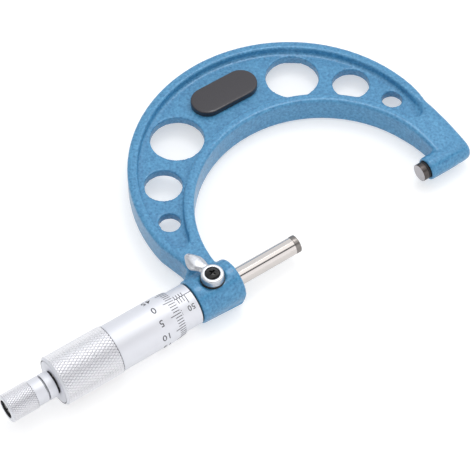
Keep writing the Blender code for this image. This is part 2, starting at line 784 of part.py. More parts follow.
def build_ratchet_body(steel):
    """The ratchet's fixed part: stud, neck, collar, crown of teeth and spigot in one."""
    screw_end = SPIGOT_REAR_X + END_SCREW_LENGTH + HOLE_DEEPER
    screw_hole = END_SCREW_SHANK_R + SEAT_GAP * 2
    stud_front = NECK_FRONT_X + STUD_LENGTH
    body = turned(
        "ratchet_body",
        [
            (stud_front, 0),
            (stud_front, STUD_R - CHAMFER),
            (stud_front - CHAMFER, STUD_R),
            (NECK_FRONT_X, STUD_R),
            (NECK_FRONT_X, NECK_R),
            (COLLAR_FRONT_X, NECK_R),
            (COLLAR_FRONT_X, COLLAR_R - FINE_CHAMFER),
            (COLLAR_FRONT_X - FINE_CHAMFER, COLLAR_R),
            (COLLAR_REAR_X + FINE_CHAMFER, COLLAR_R),
            (COLLAR_REAR_X, COLLAR_R - FINE_CHAMFER),
            (COLLAR_REAR_X, SPIGOT_R),
            (SPIGOT_REAR_X, SPIGOT_R),
            (SPIGOT_REAR_X, screw_hole),
            (screw_end, screw_hole),
            (screw_end, 0),
        ],
        steel,
        MEDIUM_STEPS,
    )
    inside_collar = COLLAR_REAR_X + COLLAR_LENGTH / 4
    inside_spigot = (SPIGOT_R + screw_hole) / 2
    crown = toothed_ring("crown", CROWN_FACE_X, inside_collar, CROWN_R, inside_spigot, 0)
    boolean(body, crown, "UNION")
    return body


def build_clutch(steel):
    """The sprung ring whose teeth click over the fixed crown, keyed to the knob by lugs."""
    clutch = toothed_ring(
        "ratchet_clutch",
        CLUTCH_FACE_X,
        CLUTCH_REAR_X,
        CROWN_R,
        CROWN_BORE_R,
        TOOTH_PLAY_DEG,
        steel,
    )
    low = (CROWN_R + CROWN_BORE_R) / 2
    high = KNOB_BORE_R + LUG_HEIGHT - RUNNING_GAP
    lug_x = CLUTCH_REAR_X + LUG_INSET + LUG_LENGTH / 2
    for side in (1, -1):
        middle = (lug_x, 0, side * (low + high) / 2)
        lug = box("clutch_lug_%d" % side, middle, (LUG_LENGTH, LUG_WIDTH, high - low))
        boolean(clutch, lug, "UNION")
    return clutch


def build_knob(chrome):
    """The ratchet's knob: a plain ring, a grip and an end recess for the screw."""
    rear = KNOB_REAR_X
    grip = KNOB_FRONT_X - KNOB_SMOOTH_LENGTH
    web_bore = SPIGOT_R + RUNNING_GAP
    knob = turned(
        "ratchet_knob",
        [
            (KNOB_FRONT_X, KNOB_R - FINE_CHAMFER),
            (KNOB_FRONT_X - FINE_CHAMFER, KNOB_R),
            (grip, KNOB_R),
            (grip - KNOB_STEP, KNOB_KNURL_R),
            (rear + KNOB_STEP, KNOB_KNURL_R),
            (rear, KNOB_KNURL_R - KNOB_STEP),
            (rear, KNOB_RECESS_R + FINE_CHAMFER),
            (rear + FINE_CHAMFER, KNOB_RECESS_R),
            (KNOB_WEB_REAR_X, KNOB_RECESS_R),
            (KNOB_WEB_REAR_X, web_bore),
            (KNOB_WEB_FRONT_X, web_bore),
            (KNOB_WEB_FRONT_X, KNOB_BORE_R),
            (KNOB_FRONT_X, KNOB_BORE_R),
        ],
        chrome,
        MEDIUM_STEPS,
    )
    length = KNOB_FRONT_X - KNOB_WEB_FRONT_X + PAST
    height = LUG_HEIGHT + PAST
    middle_z = KNOB_BORE_R + LUG_HEIGHT - height / 2
    size = (length, LUG_WIDTH + 2 * RUNNING_GAP, height)
    for side in (1, -1):
        middle = (KNOB_WEB_FRONT_X + length / 2, 0, side * middle_z)
        boolean(knob, box("knob_slot_%d" % side, middle, size))
    return knob


def build_spring(steel):
    """The small spring that presses the clutch on the crown."""
    start = CLUTCH_REAR_X - SEAT_GAP - SPRING_WIRE_R
    end = KNOB_WEB_FRONT_X + SEAT_GAP + SPRING_WIRE_R
    curve = bpy.data.curves.new("ratchet_spring", "CURVE")
    curve.dimensions = "3D"
    curve.bevel_depth = SPRING_WIRE_R * MM
    curve.bevel_resolution = 1
    curve.use_fill_caps = True
    steps = SPRING_TURNS * SPRING_STEPS
    spline = curve.splines.new("POLY")
    spline.points.add(steps)
    for i, point in enumerate(spline.points):
        share = i / steps
        angle = share * SPRING_TURNS * CIRCLE
        x = start + (end - start) * share
        y = -SPRING_R * math.cos(angle)
        z = SPRING_R * math.sin(angle)
        point.co = (x * MM, y * MM, z * MM, 1)
    spring = bpy.data.objects.new("ratchet_spring", curve)
    curve.materials.append(steel)
    PIECES.objects.link(spring)
    return spring


def build_end_screw(steel):
    """The slotted screw and the washer that hold the knob on its spigot."""
    hole = END_SCREW_SHANK_R + RUNNING_GAP
    front = SPIGOT_REAR_X - SEAT_GAP
    washer = turned(
        "ratchet_washer",
        [(front, WASHER_R), (WASHER_REAR_X, WASHER_R), (WASHER_REAR_X, hole), (front, hole)],
        steel,
        SMALL_STEPS,
    )
    under_head = WASHER_REAR_X - SEAT_GAP
    shank_end = SPIGOT_REAR_X + END_SCREW_LENGTH
    screw = turned(
        "ratchet_screw",
        [
            (shank_end, 0),
            (shank_end, END_SCREW_SHANK_R),
            (under_head, END_SCREW_SHANK_R),
            (under_head, END_SCREW_R),
            (END_SCREW_FACE_X + CHAMFER, END_SCREW_R),
            (END_SCREW_FACE_X, END_SCREW_R - CHAMFER),
            (END_SCREW_FACE_X, 0),
        ],
        steel,
        SMALL_STEPS,
    )
    size = (END_SCREW_HEAD, SCREW_SLOT, (END_SCREW_R + PAST) * 2)
    boolean(screw, box("screw_slot", (END_SCREW_FACE_X, 0, 0), size))
    return washer, screw


def lever_outline():
    """The lever's leaf seen from above: a waist at the boss and a round tip."""
    tip_y = LEVER_REACH
    waist = LEVER_ROOT_HALF_WIDTH
    points = [(waist, 0.0), (waist * 0.86, tip_y * 0.5)]
    points += arc((0, tip_y), LEVER_TIP_R, LEVER_TIP_START, 180 - LEVER_TIP_START, 7)
    points += [(-waist * 0.98, tip_y * 0.62), (-waist * 0.8, tip_y * 0.4), (-waist * 0.8, 0.0)]
    turn = math.radians(LEVER_ANGLE - 90)
    outline = []
    for x, y in points:
        outline.append(
            (
                LOCK_X + x * math.cos(turn) - y * math.sin(turn),
                x * math.sin(turn) + y * math.cos(turn),
            )
        )
    return outline


def build_lock(chrome, steel, black, brass):
    """The spindle lock: lever, washer, screw, stud, and the shoe that grips the spindle."""
    at = (LOCK_X, 0)
    leaf_low = LEVER_Z + LEVER_LIFT
    lever = slab("lock_lever", lever_outline(), leaf_low, leaf_low + LEVER_THICKNESS, chrome)
    rounded(lever, LEVER_ROUND)
    boss_r = LEVER_BOSS_R
    crown = LEVER_CROWN
    boss = turned(
        "lever_boss",
        [
            (LEVER_TOP_Z, 0),
            (LEVER_TOP_Z, boss_r - crown),
            (LEVER_TOP_Z - crown * ROUND_MIDDLE, boss_r - crown * ROUND_MIDDLE),
            (LEVER_TOP_Z - crown, boss_r),
            (LEVER_Z + FINE_CHAMFER, boss_r),
            (LEVER_Z, boss_r - FINE_CHAMFER),
            (LEVER_Z, 0),
        ],
        steps=MEDIUM_STEPS,
        upright_at=at,
    )
    boolean(lever, boss, "UNION")
    stud_top = LOCK_STUD_TOP_Z + SEAT_GAP
    opening = turned(
        "lever_bore",
        [
            (LEVER_TOP_Z + PAST, 0),
            (LEVER_TOP_Z + PAST, LOCK_SCREW_R + RUNNING_GAP),
            (LOCK_SEAT_Z, LOCK_SCREW_R + RUNNING_GAP),
            (LOCK_SEAT_Z, LOCK_SCREW_SHANK_R + RUNNING_GAP),
            (stud_top, LOCK_SCREW_SHANK_R + RUNNING_GAP),
            (stud_top, LOCK_STUD_R + RUNNING_GAP),
            (LEVER_Z - PAST, LOCK_STUD_R + RUNNING_GAP),
            (LEVER_Z - PAST, 0),
        ],
        steps=SMALL_STEPS,
        upright_at=at,
    )
    boolean(lever, opening)

    washer_top = LOCK_WASHER_Z + LOCK_WASHER_THICKNESS
    hole = LOCK_STUD_R + RUNNING_GAP
    washer = turned(
        "lock_washer",
        [
            (washer_top, LOCK_WASHER_R),
            (LOCK_WASHER_Z, LOCK_WASHER_R),
            (LOCK_WASHER_Z, hole),
            (washer_top, hole),
        ],
        black,
        SMALL_STEPS,
        at,
    )

    stud_hole = LOCK_SCREW_SHANK_R + SEAT_GAP * 2
    stud_bottom = SHOE_TOP_Z + SEAT_GAP
    stud = turned(
        "lock_stud",
        [
            (LOCK_STUD_TOP_Z, LOCK_STUD_R),
            (stud_bottom + FINE_CHAMFER, LOCK_STUD_R),
            (stud_bottom, LOCK_STUD_R - FINE_CHAMFER),
            (stud_bottom, 0),
            (LOCK_SHANK_Z - RUNNING_GAP, 0),
            (LOCK_SHANK_Z - RUNNING_GAP, stud_hole),
            (LOCK_STUD_TOP_Z, stud_hole),
        ],
        steel,
        SMALL_STEPS,
        at,
    )

    head_top = LOCK_HEAD_Z + LOCK_SCREW_HEAD
    dome = LOCK_SCREW_DOME
    screw = turned(
        "lock_screw",
        [
            (head_top, 0),
            (head_top, LOCK_SCREW_R - dome),
            (head_top - dome * 0.15, LOCK_SCREW_R - dome * 0.45),
            (head_top - dome * 0.45, LOCK_SCREW_R),
            (LOCK_HEAD_Z, LOCK_SCREW_R),
            (LOCK_HEAD_Z, LOCK_SCREW_SHANK_R),
            (LOCK_SHANK_Z, LOCK_SCREW_SHANK_R),
            (LOCK_SHANK_Z, 0),
        ],
        black,
        SMALL_STEPS,
        at,
    )
    bar_x = (CROSS_LENGTH, CROSS_WIDTH, CROSS_DEPTH * 2)
    bar_y = (CROSS_WIDTH, CROSS_LENGTH, CROSS_DEPTH * 2)
    boolean(screw, box("cross_x", (LOCK_X, 0, head_top), bar_x))
    boolean(screw, box("cross_y", (LOCK_X, 0, head_top), bar_y))

    shoe_r = LOCK_STUD_R - SEAT_GAP
    shoe = turned(
        "lock_shoe",
        [(SHOE_TOP_Z, 0), (SHOE_TOP_Z, shoe_r), (SHOE_Z, shoe_r), (SHOE_Z, 0)],
        brass,
        SMALL_STEPS,
        at,
    )
    groove_r = SPINDLE_R + SEAT_GAP * 2
    boolean(shoe, rod("groove", LOCK_X - shoe_r * 2, LOCK_X + shoe_r * 2, groove_r, ROUND_STEPS))
    return lever, washer, stud, screw


def axis_marker(name, centre, pieces):
    """An empty on a joint's axis that carries the pieces which move on it."""
    marker = bpy.data.objects.new(name, None)
    marker.empty_display_size = 10 * MM
    marker.location = Vector(centre) * MM
    PIECES.objects.link(marker)
    bpy.context.view_layer.update()
    for piece in pieces:
        piece.parent = marker
        piece.matrix_parent_inverse = marker.matrix_world.inverted()


def build():
    """Make every piece of the micrometer."""
    paint = material("blue hammered paint", BLUE_PAINT, 0.35, 0.0)
    chrome = material("satin chrome", SATIN_CHROME, 0.38, 1.0)
    steel = material("ground steel", STEEL, 0.28, 1.0)
    carbide = material("carbide", CARBIDE, 0.45, 0.6)
    black_plastic = material("black plastic", BLACK, 0.4, 0.0)
    black_steel = material("blackened steel", BLACK, 0.35, 0.7)
    brass = material("brass", BRASS, 0.35, 1.0)

    build_frame(paint)
    build_anvil(steel, carbide)
    build_pads(black_plastic)
    build_sleeves(steel, chrome)
    tip, spindle = build_spindle(steel, carbide)
    thimble = build_thimble(chrome)
    body = build_ratchet_body(steel)
    clutch = build_clutch(steel)
    knob = build_knob(chrome)
    spring = build_spring(steel)
    washer, screw = build_end_screw(steel)
    lock = build_lock(chrome, steel, black_steel, brass)

    axis_marker("screw_axis", (SPINDLE_FACE_X, 0, 0), [tip, spindle, thimble, body, washer, screw])
    axis_marker("ratchet_axis", (COLLAR_REAR_X, 0, 0), [knob, spring, clutch])
    axis_marker("lock_axis", (LOCK_X, 0, SPOT_FACE_Z), lock)


for leftover in list(bpy.data.objects):
    bpy.data.objects.remove(leftover)
PIECES = collection("outside micrometer")
CUTTERS = collection("cutters")
build()
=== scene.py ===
# %% [markdown]
# # An outside micrometer for 50 to 75 mm
#
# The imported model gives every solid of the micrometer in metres, lying on its side: +X runs along
# the spindle from the thimble to the anvil, +Y points to the crown of the bow and +Z is up. This
# lesson dresses those solids. Pieces whose shape needs more than the solids hold, such as the
# knurled thimble, are modelled again and ride on the same bodies, so that they move as the real
# ones do.

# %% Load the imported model
import math

import bmesh
import bpy
from mathutils import Matrix, Vector


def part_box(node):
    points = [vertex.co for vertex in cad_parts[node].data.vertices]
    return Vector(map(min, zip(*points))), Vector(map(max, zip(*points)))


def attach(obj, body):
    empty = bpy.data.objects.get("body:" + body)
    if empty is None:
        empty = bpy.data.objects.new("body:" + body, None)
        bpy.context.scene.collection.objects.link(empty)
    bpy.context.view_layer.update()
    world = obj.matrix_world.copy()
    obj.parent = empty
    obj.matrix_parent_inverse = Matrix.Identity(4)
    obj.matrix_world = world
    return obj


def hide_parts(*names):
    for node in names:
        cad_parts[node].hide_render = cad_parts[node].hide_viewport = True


MM = 0.001
TURN = 2 * math.pi

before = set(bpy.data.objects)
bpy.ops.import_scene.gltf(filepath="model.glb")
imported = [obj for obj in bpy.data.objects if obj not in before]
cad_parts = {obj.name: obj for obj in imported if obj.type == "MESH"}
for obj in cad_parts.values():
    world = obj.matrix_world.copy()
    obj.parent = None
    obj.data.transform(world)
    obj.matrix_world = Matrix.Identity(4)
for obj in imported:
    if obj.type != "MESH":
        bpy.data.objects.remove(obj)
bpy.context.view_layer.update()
print("solids:", len(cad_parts))

# %% [markdown]
# ## Small helpers for modelling
#
# An operator acts on everything that is selected, so each new piece starts with an empty
# selection. Two helpers begin and end a piece: `edit` enters edit mode on it, and `settle` returns
# to object mode and puts the piece's place, turn and size into its mesh. `pick` selects points,
# edges or faces by where they are or how they face, so that nothing depends on their order.


# %% Start, select and finish a piece
def deselect():
    """Leave edit mode and select nothing."""
    if bpy.context.mode != "OBJECT":
        bpy.ops.object.mode_set(mode="OBJECT")
    bpy.ops.object.select_all(action="DESELECT")


def edit(piece):
    """Enter edit mode on one piece."""
    deselect()
    piece.select_set(True)
    bpy.context.view_layer.objects.active = piece
    bpy.ops.object.mode_set(mode="EDIT")


def pick(piece, test, parts="verts"):
    """In edit mode, select the vertices, edges or faces that pass a test."""
    bpy.ops.mesh.select_mode(type={"verts": "VERT", "edges": "EDGE", "faces": "FACE"}[parts])
    bpy.ops.mesh.select_all(action="DESELECT")
    shape = bmesh.from_edit_mesh(piece.data)
    for part in getattr(shape, parts):
        if test(part):
            part.select = True
    shape.select_flush_mode()
    bmesh.update_edit_mesh(piece.data)


def point_outwards():
    """Turn the normals of the whole mesh that is being edited outwards."""
    bpy.ops.mesh.select_all(action="SELECT")
    bpy.ops.mesh.normals_make_consistent(inside=False)


def settle(piece, name):
    """Name a piece and put its place, turn and size into its mesh."""
    deselect()
    piece.select_set(True)
    bpy.context.view_layer.objects.active = piece
    bpy.ops.object.transform_apply(location=True, rotation=True, scale=True)
    piece.name = name
    piece.data.name = name
    return piece


def apply_modifier(piece, kind, **settings):
    """Add a modifier to a piece and apply it at once."""
    deselect()
    piece.select_set(True)
    bpy.context.view_layer.objects.active = piece
    modifier = piece.modifiers.new(kind.lower(), kind)
    for key, value in settings.items():
        setattr(modifier, key, value)
    bpy.ops.object.modifier_apply(modifier=modifier.name)


def smooth(piece, angle=35):
    """Shade a piece smooth, and keep edges sharper than the angle crisp."""
    deselect()
    piece.select_set(True)
    bpy.context.view_layer.objects.active = piece
    bpy.ops.object.shade_smooth_by_angle(angle=math.radians(angle))


def joined(pieces, name):
    """Join several pieces into one."""
    deselect()
    for piece in pieces:
        piece.select_set(True)
    bpy.context.view_layer.objects.active = pieces[0]
    bpy.ops.object.join()
    return settle(bpy.context.view_layer.objects.active, name)


def tell(*pieces):
    """Print how many faces each piece has."""
    for piece in pieces:
        print(piece.name + ":", len(piece.data.polygons), "faces")


# %% [markdown]
# ## Turning on a lathe
#
# Most of a micrometer is turned: the spindle, the sleeve, the thimble, the ratchet. Blender's
# lathe is the Spin operator. The section is drawn point by point by extruding a single vertex,
# then spun a full turn. A corner that is given a third number is drawn as an arc of that radius,
# because the small round edges are what catch the light on a real turned piece.


# %% Draw a section and spin it
def round_corners(profile, steps=4):
    """Replace each corner (along, radius, round) with an arc of steps pieces."""
    drawn = []
    for index, corner in enumerate(profile):
        here = Vector(corner[:2])
        if len(corner) == 2:
            drawn.append(here)
            continue
        before = (Vector(profile[index - 1][:2]) - here).normalized()
        after = (Vector(profile[(index + 1) % len(profile)][:2]) - here).normalized()
        half = before.angle(after) / 2
        centre = here + (before + after).normalized() * corner[2] / math.sin(half)
        start = here + before * corner[2] / math.tan(half) - centre
        end = here + after * corner[2] / math.tan(half) - centre
        sweep = start.angle_signed(end)
        for step in range(steps + 1):
            turn = Matrix.Rotation(-sweep * step / steps, 2)
            drawn.append(centre + turn @ start)
    return drawn


def turned(name, profile, steps=96, upright_at=None):
    """Turn a section of (along, radius) corners in mm about the spindle's axis, or an upright one."""
    section = round_corners(profile)
    if section[0].y > 0:
        section.append(section[0])
    if upright_at is None:
        centre, axis = Vector((0, 0, 0)), (1, 0, 0)
        points = [Vector((along, radius, 0)) * MM for along, radius in section]
    else:
        centre, axis = Vector((*upright_at, 0)) * MM, (0, 0, 1)
        points = [centre + Vector((radius, 0, along)) * MM for along, radius in section]
    deselect()
    bpy.ops.mesh.primitive_plane_add(size=MM, location=(0, 0, 0))
    piece = bpy.context.active_object
    bpy.ops.object.mode_set(mode="EDIT")
    bpy.ops.mesh.select_mode(type="VERT")
    bpy.ops.mesh.select_all(action="SELECT")
    bpy.ops.mesh.merge(type="CENTER")
    bpy.ops.transform.translate(value=points[0])
    for before, after in zip(points, points[1:]):
        bpy.ops.mesh.extrude_region_move(TRANSFORM_OT_translate={"value": after - before})
    bpy.ops.mesh.select_all(action="SELECT")
    bpy.ops.mesh.spin(steps=steps, angle=TURN, center=centre, axis=axis)
    bpy.ops.mesh.select_all(action="SELECT")
    bpy.ops.mesh.remove_doubles(threshold=1e-6)
    bpy.ops.mesh.normals_make_consistent(inside=False)
    bpy.ops.object.mode_set(mode="OBJECT")
    settle(piece, name)
    smooth(piece)
    return piece


# %% [markdown]
# ## Rolling a flat drawing round a cylinder
#
# Knurling, scale marks and numbers all follow a round surface. They are drawn flat, with x along
# the axis, y round the surface and z its height, and then rolled: a point's y becomes an angle.
# y = 0 lands on top of the cylinder, where the scale's datum line is.


# %% Roll a flat piece
def rolled(piece, radius):
    """Roll a flat piece, in mm of radius, over the top of a cylinder about the spindle's axis."""
    for vertex in piece.data.vertices:
        along, around, height = vertex.co
        angle = around / (radius * MM)
        reach = radius * MM + height
        vertex.co = (along, reach * math.sin(angle), reach * math.cos(angle))
    piece.data.update()
    return piece


# %% [markdown]
# ## Materials: colours and nodes
#
# Colours are written as sRGB hex values, which is how a colour picker shows them, and one function
# turns them into the linear values that the shader needs. Another adds a node, with its settings
# and its links in one call.


# %% Colour and node helpers
def linear(code):
    """An sRGB hex colour as a linear RGBA value."""
    channels = []
    for place in (0, 2, 4):
        value = int(code[place : place + 2], 16) / 255
        channels.append(value / 12.92 if value <= 0.04045 else ((value + 0.055) / 1.055) ** 2.4)
    return (*channels, 1.0)


def node(material, kind, inputs=None, **settings):
    """Add a node. An input is given a value, or the socket that feeds it."""
    made = material.node_tree.nodes.new(kind)
    for key, value in settings.items():
        setattr(made, key, value)
    for key, value in (inputs or {}).items():
        if isinstance(value, bpy.types.NodeSocket):
            material.node_tree.links.new(value, made.inputs[key])
        else:
            made.inputs[key].default_value = value
    return made


def finish_named(name, **values):
    """A new material and its shader, with constants set on the shader's own sockets."""
    material = bpy.data.materials.new(name)
    material.use_nodes = True
    shader = material.node_tree.nodes["Principled BSDF"]
    for key, value in values.items():
        shader.inputs[key.replace("_", " ")].default_value = value
    return material, shader


def feed(material, shader, **sockets):
    """Link sockets into the shader's inputs."""
    for key, socket in sockets.items():
        material.node_tree.links.new(socket, shader.inputs[key.replace("_", " ")])


def paint(piece, material):
    """Give a piece one material."""
    piece.data.materials.clear()
    piece.data.materials.append(material)


def darken(piece, test):
    """Paint shade on the faces of a turned piece, picked by place along and radius in mm."""
    piece.data.materials.append(painted_shade)
    for face in piece.data.polygons:
        x, y, z = face.center / MM
        if test(x, math.hypot(y, z)):
            face.material_index = len(piece.data.materials) - 1


# %% [markdown]
# ## Hammered enamel
#
# The bow is cast and painted with a hammer finish: an enamel with silicone and leafing aluminium
# in it, which draws together into small shallow craters as it dries. The craters are about a
# millimetre across. Their rims are paler, because the flakes gather there, and the wet-looking
# surface breaks highlights into specks.

# %% Hammered enamel
CRATER, WANDER_SIZE, CLOUD_SIZE = 0.9, 1.6, 0.9
CRATER_DEPTH = 0.12

hammered, shader = finish_named(
    "hammered enamel on cast iron",
    Metallic=0.1,
    Roughness=0.38,
    IOR=1.5,
    Coat_Weight=0.45,
    Coat_Roughness=0.1,
)
place = node(hammered, "ShaderNodeTexCoord").outputs["Object"]
wander = node(
    hammered,
    "ShaderNodeTexNoise",
    {"Vector": place, "Scale": 1 / (WANDER_SIZE * MM), "Detail": 2.0},
).outputs["Color"]
bent = node(
    hammered,
    "ShaderNodeVectorMath",
    {0: wander, 1: (0.0009, 0.0009, 0.0009), 2: place},
    operation="MULTIPLY_ADD",
).outputs["Vector"]
craters = node(
    hammered,
    "ShaderNodeTexVoronoi",
    {"Vector": bent, "Scale": 1 / (CRATER * MM), "Smoothness": 0.8},
    feature="SMOOTH_F1",
).outputs["Distance"]
clouds = node(
    hammered,
    "ShaderNodeTexNoise",
    {"Vector": place, "Scale": 1 / (CLOUD_SIZE * MM), "Detail": 5.0, "Roughness": 0.7},
).outputs["Fac"]
mottle = node(
    hammered, "ShaderNodeMath", {0: craters, 1: 0.35, 2: clouds}, operation="MULTIPLY_ADD"
).outputs["Value"]
tint = node(hammered, "ShaderNodeValToRGB", {"Fac": mottle})
tint.color_ramp.elements[0].position = 0.4
tint.color_ramp.elements[0].color = linear("296F9F")
tint.color_ramp.elements[1].position = 0.92
tint.color_ramp.elements[1].color = linear("5BA5D0")
relief = node(
    hammered,
    "ShaderNodeBump",
    {"Height": mottle, "Strength": 0.6, "Distance": CRATER_DEPTH * MM},
).outputs["Normal"]
feed(hammered, shader, Base_Color=tint.outputs["Color"], Normal=relief)
print("hammered enamel: craters", CRATER, "mm across")

# %% [markdown]
# ## Satin chrome
#
# The sleeve and the thimble are steel with a satin chrome plate, so that the scale reads without
# glare. It is nearly white, and a very fine grain along the turning direction spreads highlights.
# The real grain is too fine to show, so it is drawn at 0.12 mm.


# %% Satin chrome, bright chrome and steels
def turned_metal(name, colour, roughness, grain, depth):
    """A metal with fine rings round the spindle's axis, grain mm apart."""
    material, shader = finish_named(name, Metallic=1.0, Roughness=roughness)
    shader.inputs["Base Color"].default_value = linear(colour)
    place = node(material, "ShaderNodeTexCoord").outputs["Object"]
    rings = node(
        material, "ShaderNodeMapping", {"Vector": place, "Scale": (1.0, 0.02, 0.02)}
    ).outputs["Vector"]
    lines = node(
        material,
        "ShaderNodeTexNoise",
        {"Vector": rings, "Scale": 1 / (grain * MM), "Detail": 3.0, "Roughness": 0.6},
    ).outputs["Fac"]
    relief = node(
        material, "ShaderNodeBump", {"Height": lines, "Strength": 0.35, "Distance": depth * MM}
    ).outputs["Normal"]
    shine = node(
        material,
        "ShaderNodeMapRange",
        {"Value": lines, "To Min": roughness * 0.8, "To Max": roughness * 1.25},
    ).outputs["Result"]
    feed(material, shader, Normal=relief, Roughness=shine)
    return material


satin_chrome = turned_metal("satin chrome on steel", "EAEBF0", 0.56, 0.12, 0.004)
knurl_chrome = turned_metal("satin chrome on knurling", "F0F0F3", 0.42, 0.3, 0.002)
# Dirt and painted shade for the grooves between the knurl's pyramids.
groove_dirt_and_shade = turned_metal("chrome with dirt and painted shade in the knurl's grooves", "55555B", 0.5, 0.3, 0.002)
ground_steel = turned_metal("ground spindle steel", "DAD4D0", 0.12, 0.1, 0.006)
# Carbide is one material, given twice: painted darker on the anvil's tip, as shade from the boss, and
# painted lighter on the spindle's, as lit.
carbide = turned_metal("ground carbide", "5E5856", 0.34, 0.15, 0.01)
carbide_painted_lit = turned_metal("ground carbide, painted lighter as lit", "8B8683", 0.3, 0.15, 0.01)
lapped = turned_metal("lapped carbide face", "B9B6B9", 0.3, 0.2, 0.002)
print("turned metals:", [kind.name for kind in (satin_chrome, knurl_chrome, ground_steel, carbide)])

# %% [markdown]
# ## The other finishes
#
# The lever is forged and chrome plated over a tumbled surface, the lock's screw and washer are
# blackened steel, the pads are moulded in black ABS, and the marks are etched and filled with
# black ink.


# %% Cloudy finishes
def cloudy(name, dark, pale, size, bump, **values):
    """A finish whose colour drifts between two tones over size mm, with a bump in mm."""
    material, shader = finish_named(name, **values)
    place = node(material, "ShaderNodeTexCoord").outputs["Object"]
    clouds = node(
        material,
        "ShaderNodeTexNoise",
        {"Vector": place, "Scale": 1 / (size * MM), "Detail": 5.0, "Roughness": 0.6},
    ).outputs["Fac"]
    tone = node(material, "ShaderNodeValToRGB", {"Fac": clouds})
    tone.color_ramp.elements[0].position = 0.3
    tone.color_ramp.elements[0].color = linear(dark)
    tone.color_ramp.elements[1].position = 0.7
    tone.color_ramp.elements[1].color = linear(pale)
    relief = node(
        material, "ShaderNodeBump", {"Height": clouds, "Strength": 0.4, "Distance": bump * MM}
    ).outputs["Normal"]
    feed(material, shader, Base_Color=tone.outputs["Color"], Normal=relief)
    return material


tumbled_chrome = cloudy(
    "tumbled chrome on forged steel", "C6C8CD", "DADCE1", 0.6, 0.01, Metallic=1.0, Roughness=0.34
)
blackened = cloudy(
    "blackened steel", "060607", "0E0D10", 0.5, 0.01, Metallic=0.0, Roughness=0.2, IOR=1.5
)
moulded_black = cloudy(
    "moulded black ABS", "1C171E", "26212A", 0.35, 0.02, Roughness=0.42, IOR=1.5, Coat_Weight=0.6
)
mark_ink = cloudy("black ink in etched marks", "414147", "505056", 0.3, 0.0, Roughness=0.7)
# Painted shade: a dark finish laid on grooves, gaps and recesses where little light reaches.
painted_shade = cloudy(
    "painted shade on steel", "1C1B1E", "2B2A2D", 0.5, 0.01, Metallic=0.3, Roughness=0.5
)
bright_steel = cloudy(
    "bright machined steel", "A9A7A6", "BDBBBA", 0.8, 0.005, Metallic=1.0, Roughness=0.28
)
turned_brass = cloudy(
    "turned brass", "B08D4A", "C9A65E", 0.8, 0.005, Metallic=1.0, Roughness=0.3
)

# %% [markdown]
# ## Copying a solid
#
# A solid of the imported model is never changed. Where its shape is kept, a copy of its mesh is
# merged and worked on instead. The Remesh modifier rebuilds such a copy as an even skin of small
# cells, and the Smooth modifier then relaxes that skin, which rounds every edge a little.


# %% Copy a solid and relax a piece
def copied(name, solid):
    """A merged copy of a CAD solid, whose own mesh stays as it is."""
    piece = bpy.data.objects.new(name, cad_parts[solid].data.copy())
    bpy.context.scene.collection.objects.link(piece)
    edit(piece)
    bpy.ops.mesh.select_all(action="SELECT")
    bpy.ops.mesh.remove_doubles(threshold=1e-6)
    return settle(piece, name)


def relaxed(piece, cell, rounds):
    """Rebuild a piece as an even skin with cells of cell mm, and relax it."""
    apply_modifier(piece, "REMESH", mode="VOXEL", voxel_size=cell * MM, adaptivity=0.0)
    apply_modifier(piece, "SMOOTH", factor=0.5, iterations=rounds)
    smooth(piece, 80)


# %% [markdown]
# ## The bow
#
# The real bow is one casting: a thin web between two rims, with six holes, a hub, and a boss for
# the anvil. The photo shows a thinner web than the solid's, so the copy's web is thinned from
# below. The pocket on the far side is widened, because its rim would show through the holes, and
# the wall of the near one gets a draft, as a pattern needs to leave the sand. The smallest hole by
# the anvil is made smaller and moved outwards. Each of these is a group of points that is picked
# by its place and moved, which keeps the rest of the casting as it is.

# %% Adjust the bow's copy
WEB_HALF, WEB_THINNED = 2.3, 1.0
CROWN, POCKET_R = Vector((-37.45, 26.7)), 54.5
POCKET_WIDENED, POCKET_DRAFT = 1.3, 1.1
NEAR_PLANE, NEAR_ARC = 0.05, 0.8
SMALL_HOLE, SMALL_HOLE_R = Vector((11.17, 31.38)), 3.95
SMALL_HOLE_SHARE, SMALL_HOLE_SHIFT = 0.95, Vector((0.55, 0.2, 0))

bow = copied("bow_cast", "frame")
edit(bow)
pick(bow, lambda point: abs(point.co.z + WEB_HALF * MM) < NEAR_PLANE * MM)
bpy.ops.transform.translate(value=(0, 0, WEB_THINNED * MM))
pick(
    bow,
    lambda point: point.co.z < 0
    and abs(math.dist(point.co.xy / MM, CROWN) - POCKET_R) < NEAR_ARC,
)
wider = 1 + POCKET_WIDENED / POCKET_R
bpy.ops.transform.resize(value=(wider, wider, 1), center_override=(*(CROWN * MM), 0))
pick(
    bow,
    lambda point: abs(point.co.z - WEB_HALF * MM) < NEAR_PLANE * MM
    and abs(math.dist(point.co.xy / MM, CROWN) - POCKET_R) < NEAR_ARC,
)
print("points at the foot of the pocket's wall:", bow.data.total_vert_sel)
narrower = 1 - POCKET_DRAFT / POCKET_R
bpy.ops.transform.resize(value=(narrower, narrower, 1), center_override=(*(CROWN * MM), 0))
pick(bow, lambda point: math.dist(point.co.xy / MM, SMALL_HOLE) < SMALL_HOLE_R + 0.1)
bpy.ops.transform.resize(
    value=(SMALL_HOLE_SHARE, SMALL_HOLE_SHARE, 1), center_override=(*(SMALL_HOLE * MM), 0)
)
bpy.ops.transform.translate(value=SMALL_HOLE_SHIFT * MM)
deselect()
print("points in the bow's copy:", len(bow.data.vertices))

# %% [markdown]
# No edge of a painted casting is sharp: sand, metal and thick paint round them all. The copy is
# rebuilt in cells of 0.44 mm, which are coarser than the real skin so that the piece stays light,
# and relaxed, and this melts the joins of leg, boss and hub as casting does. The end of the
# anvil's boss is rounder than the rest. It is smoothed in four rounds, each stronger and nearer
# to the end than the last, which leaves no step where the smoothing begins.

# %% Melt the bow's edges
BOW_CELL = 0.44
BOSS_ROUNDS = ((11.5, 31, 4), (12.5, 28, 8), (13.5, 26, 12), (14.5, 24, 26))

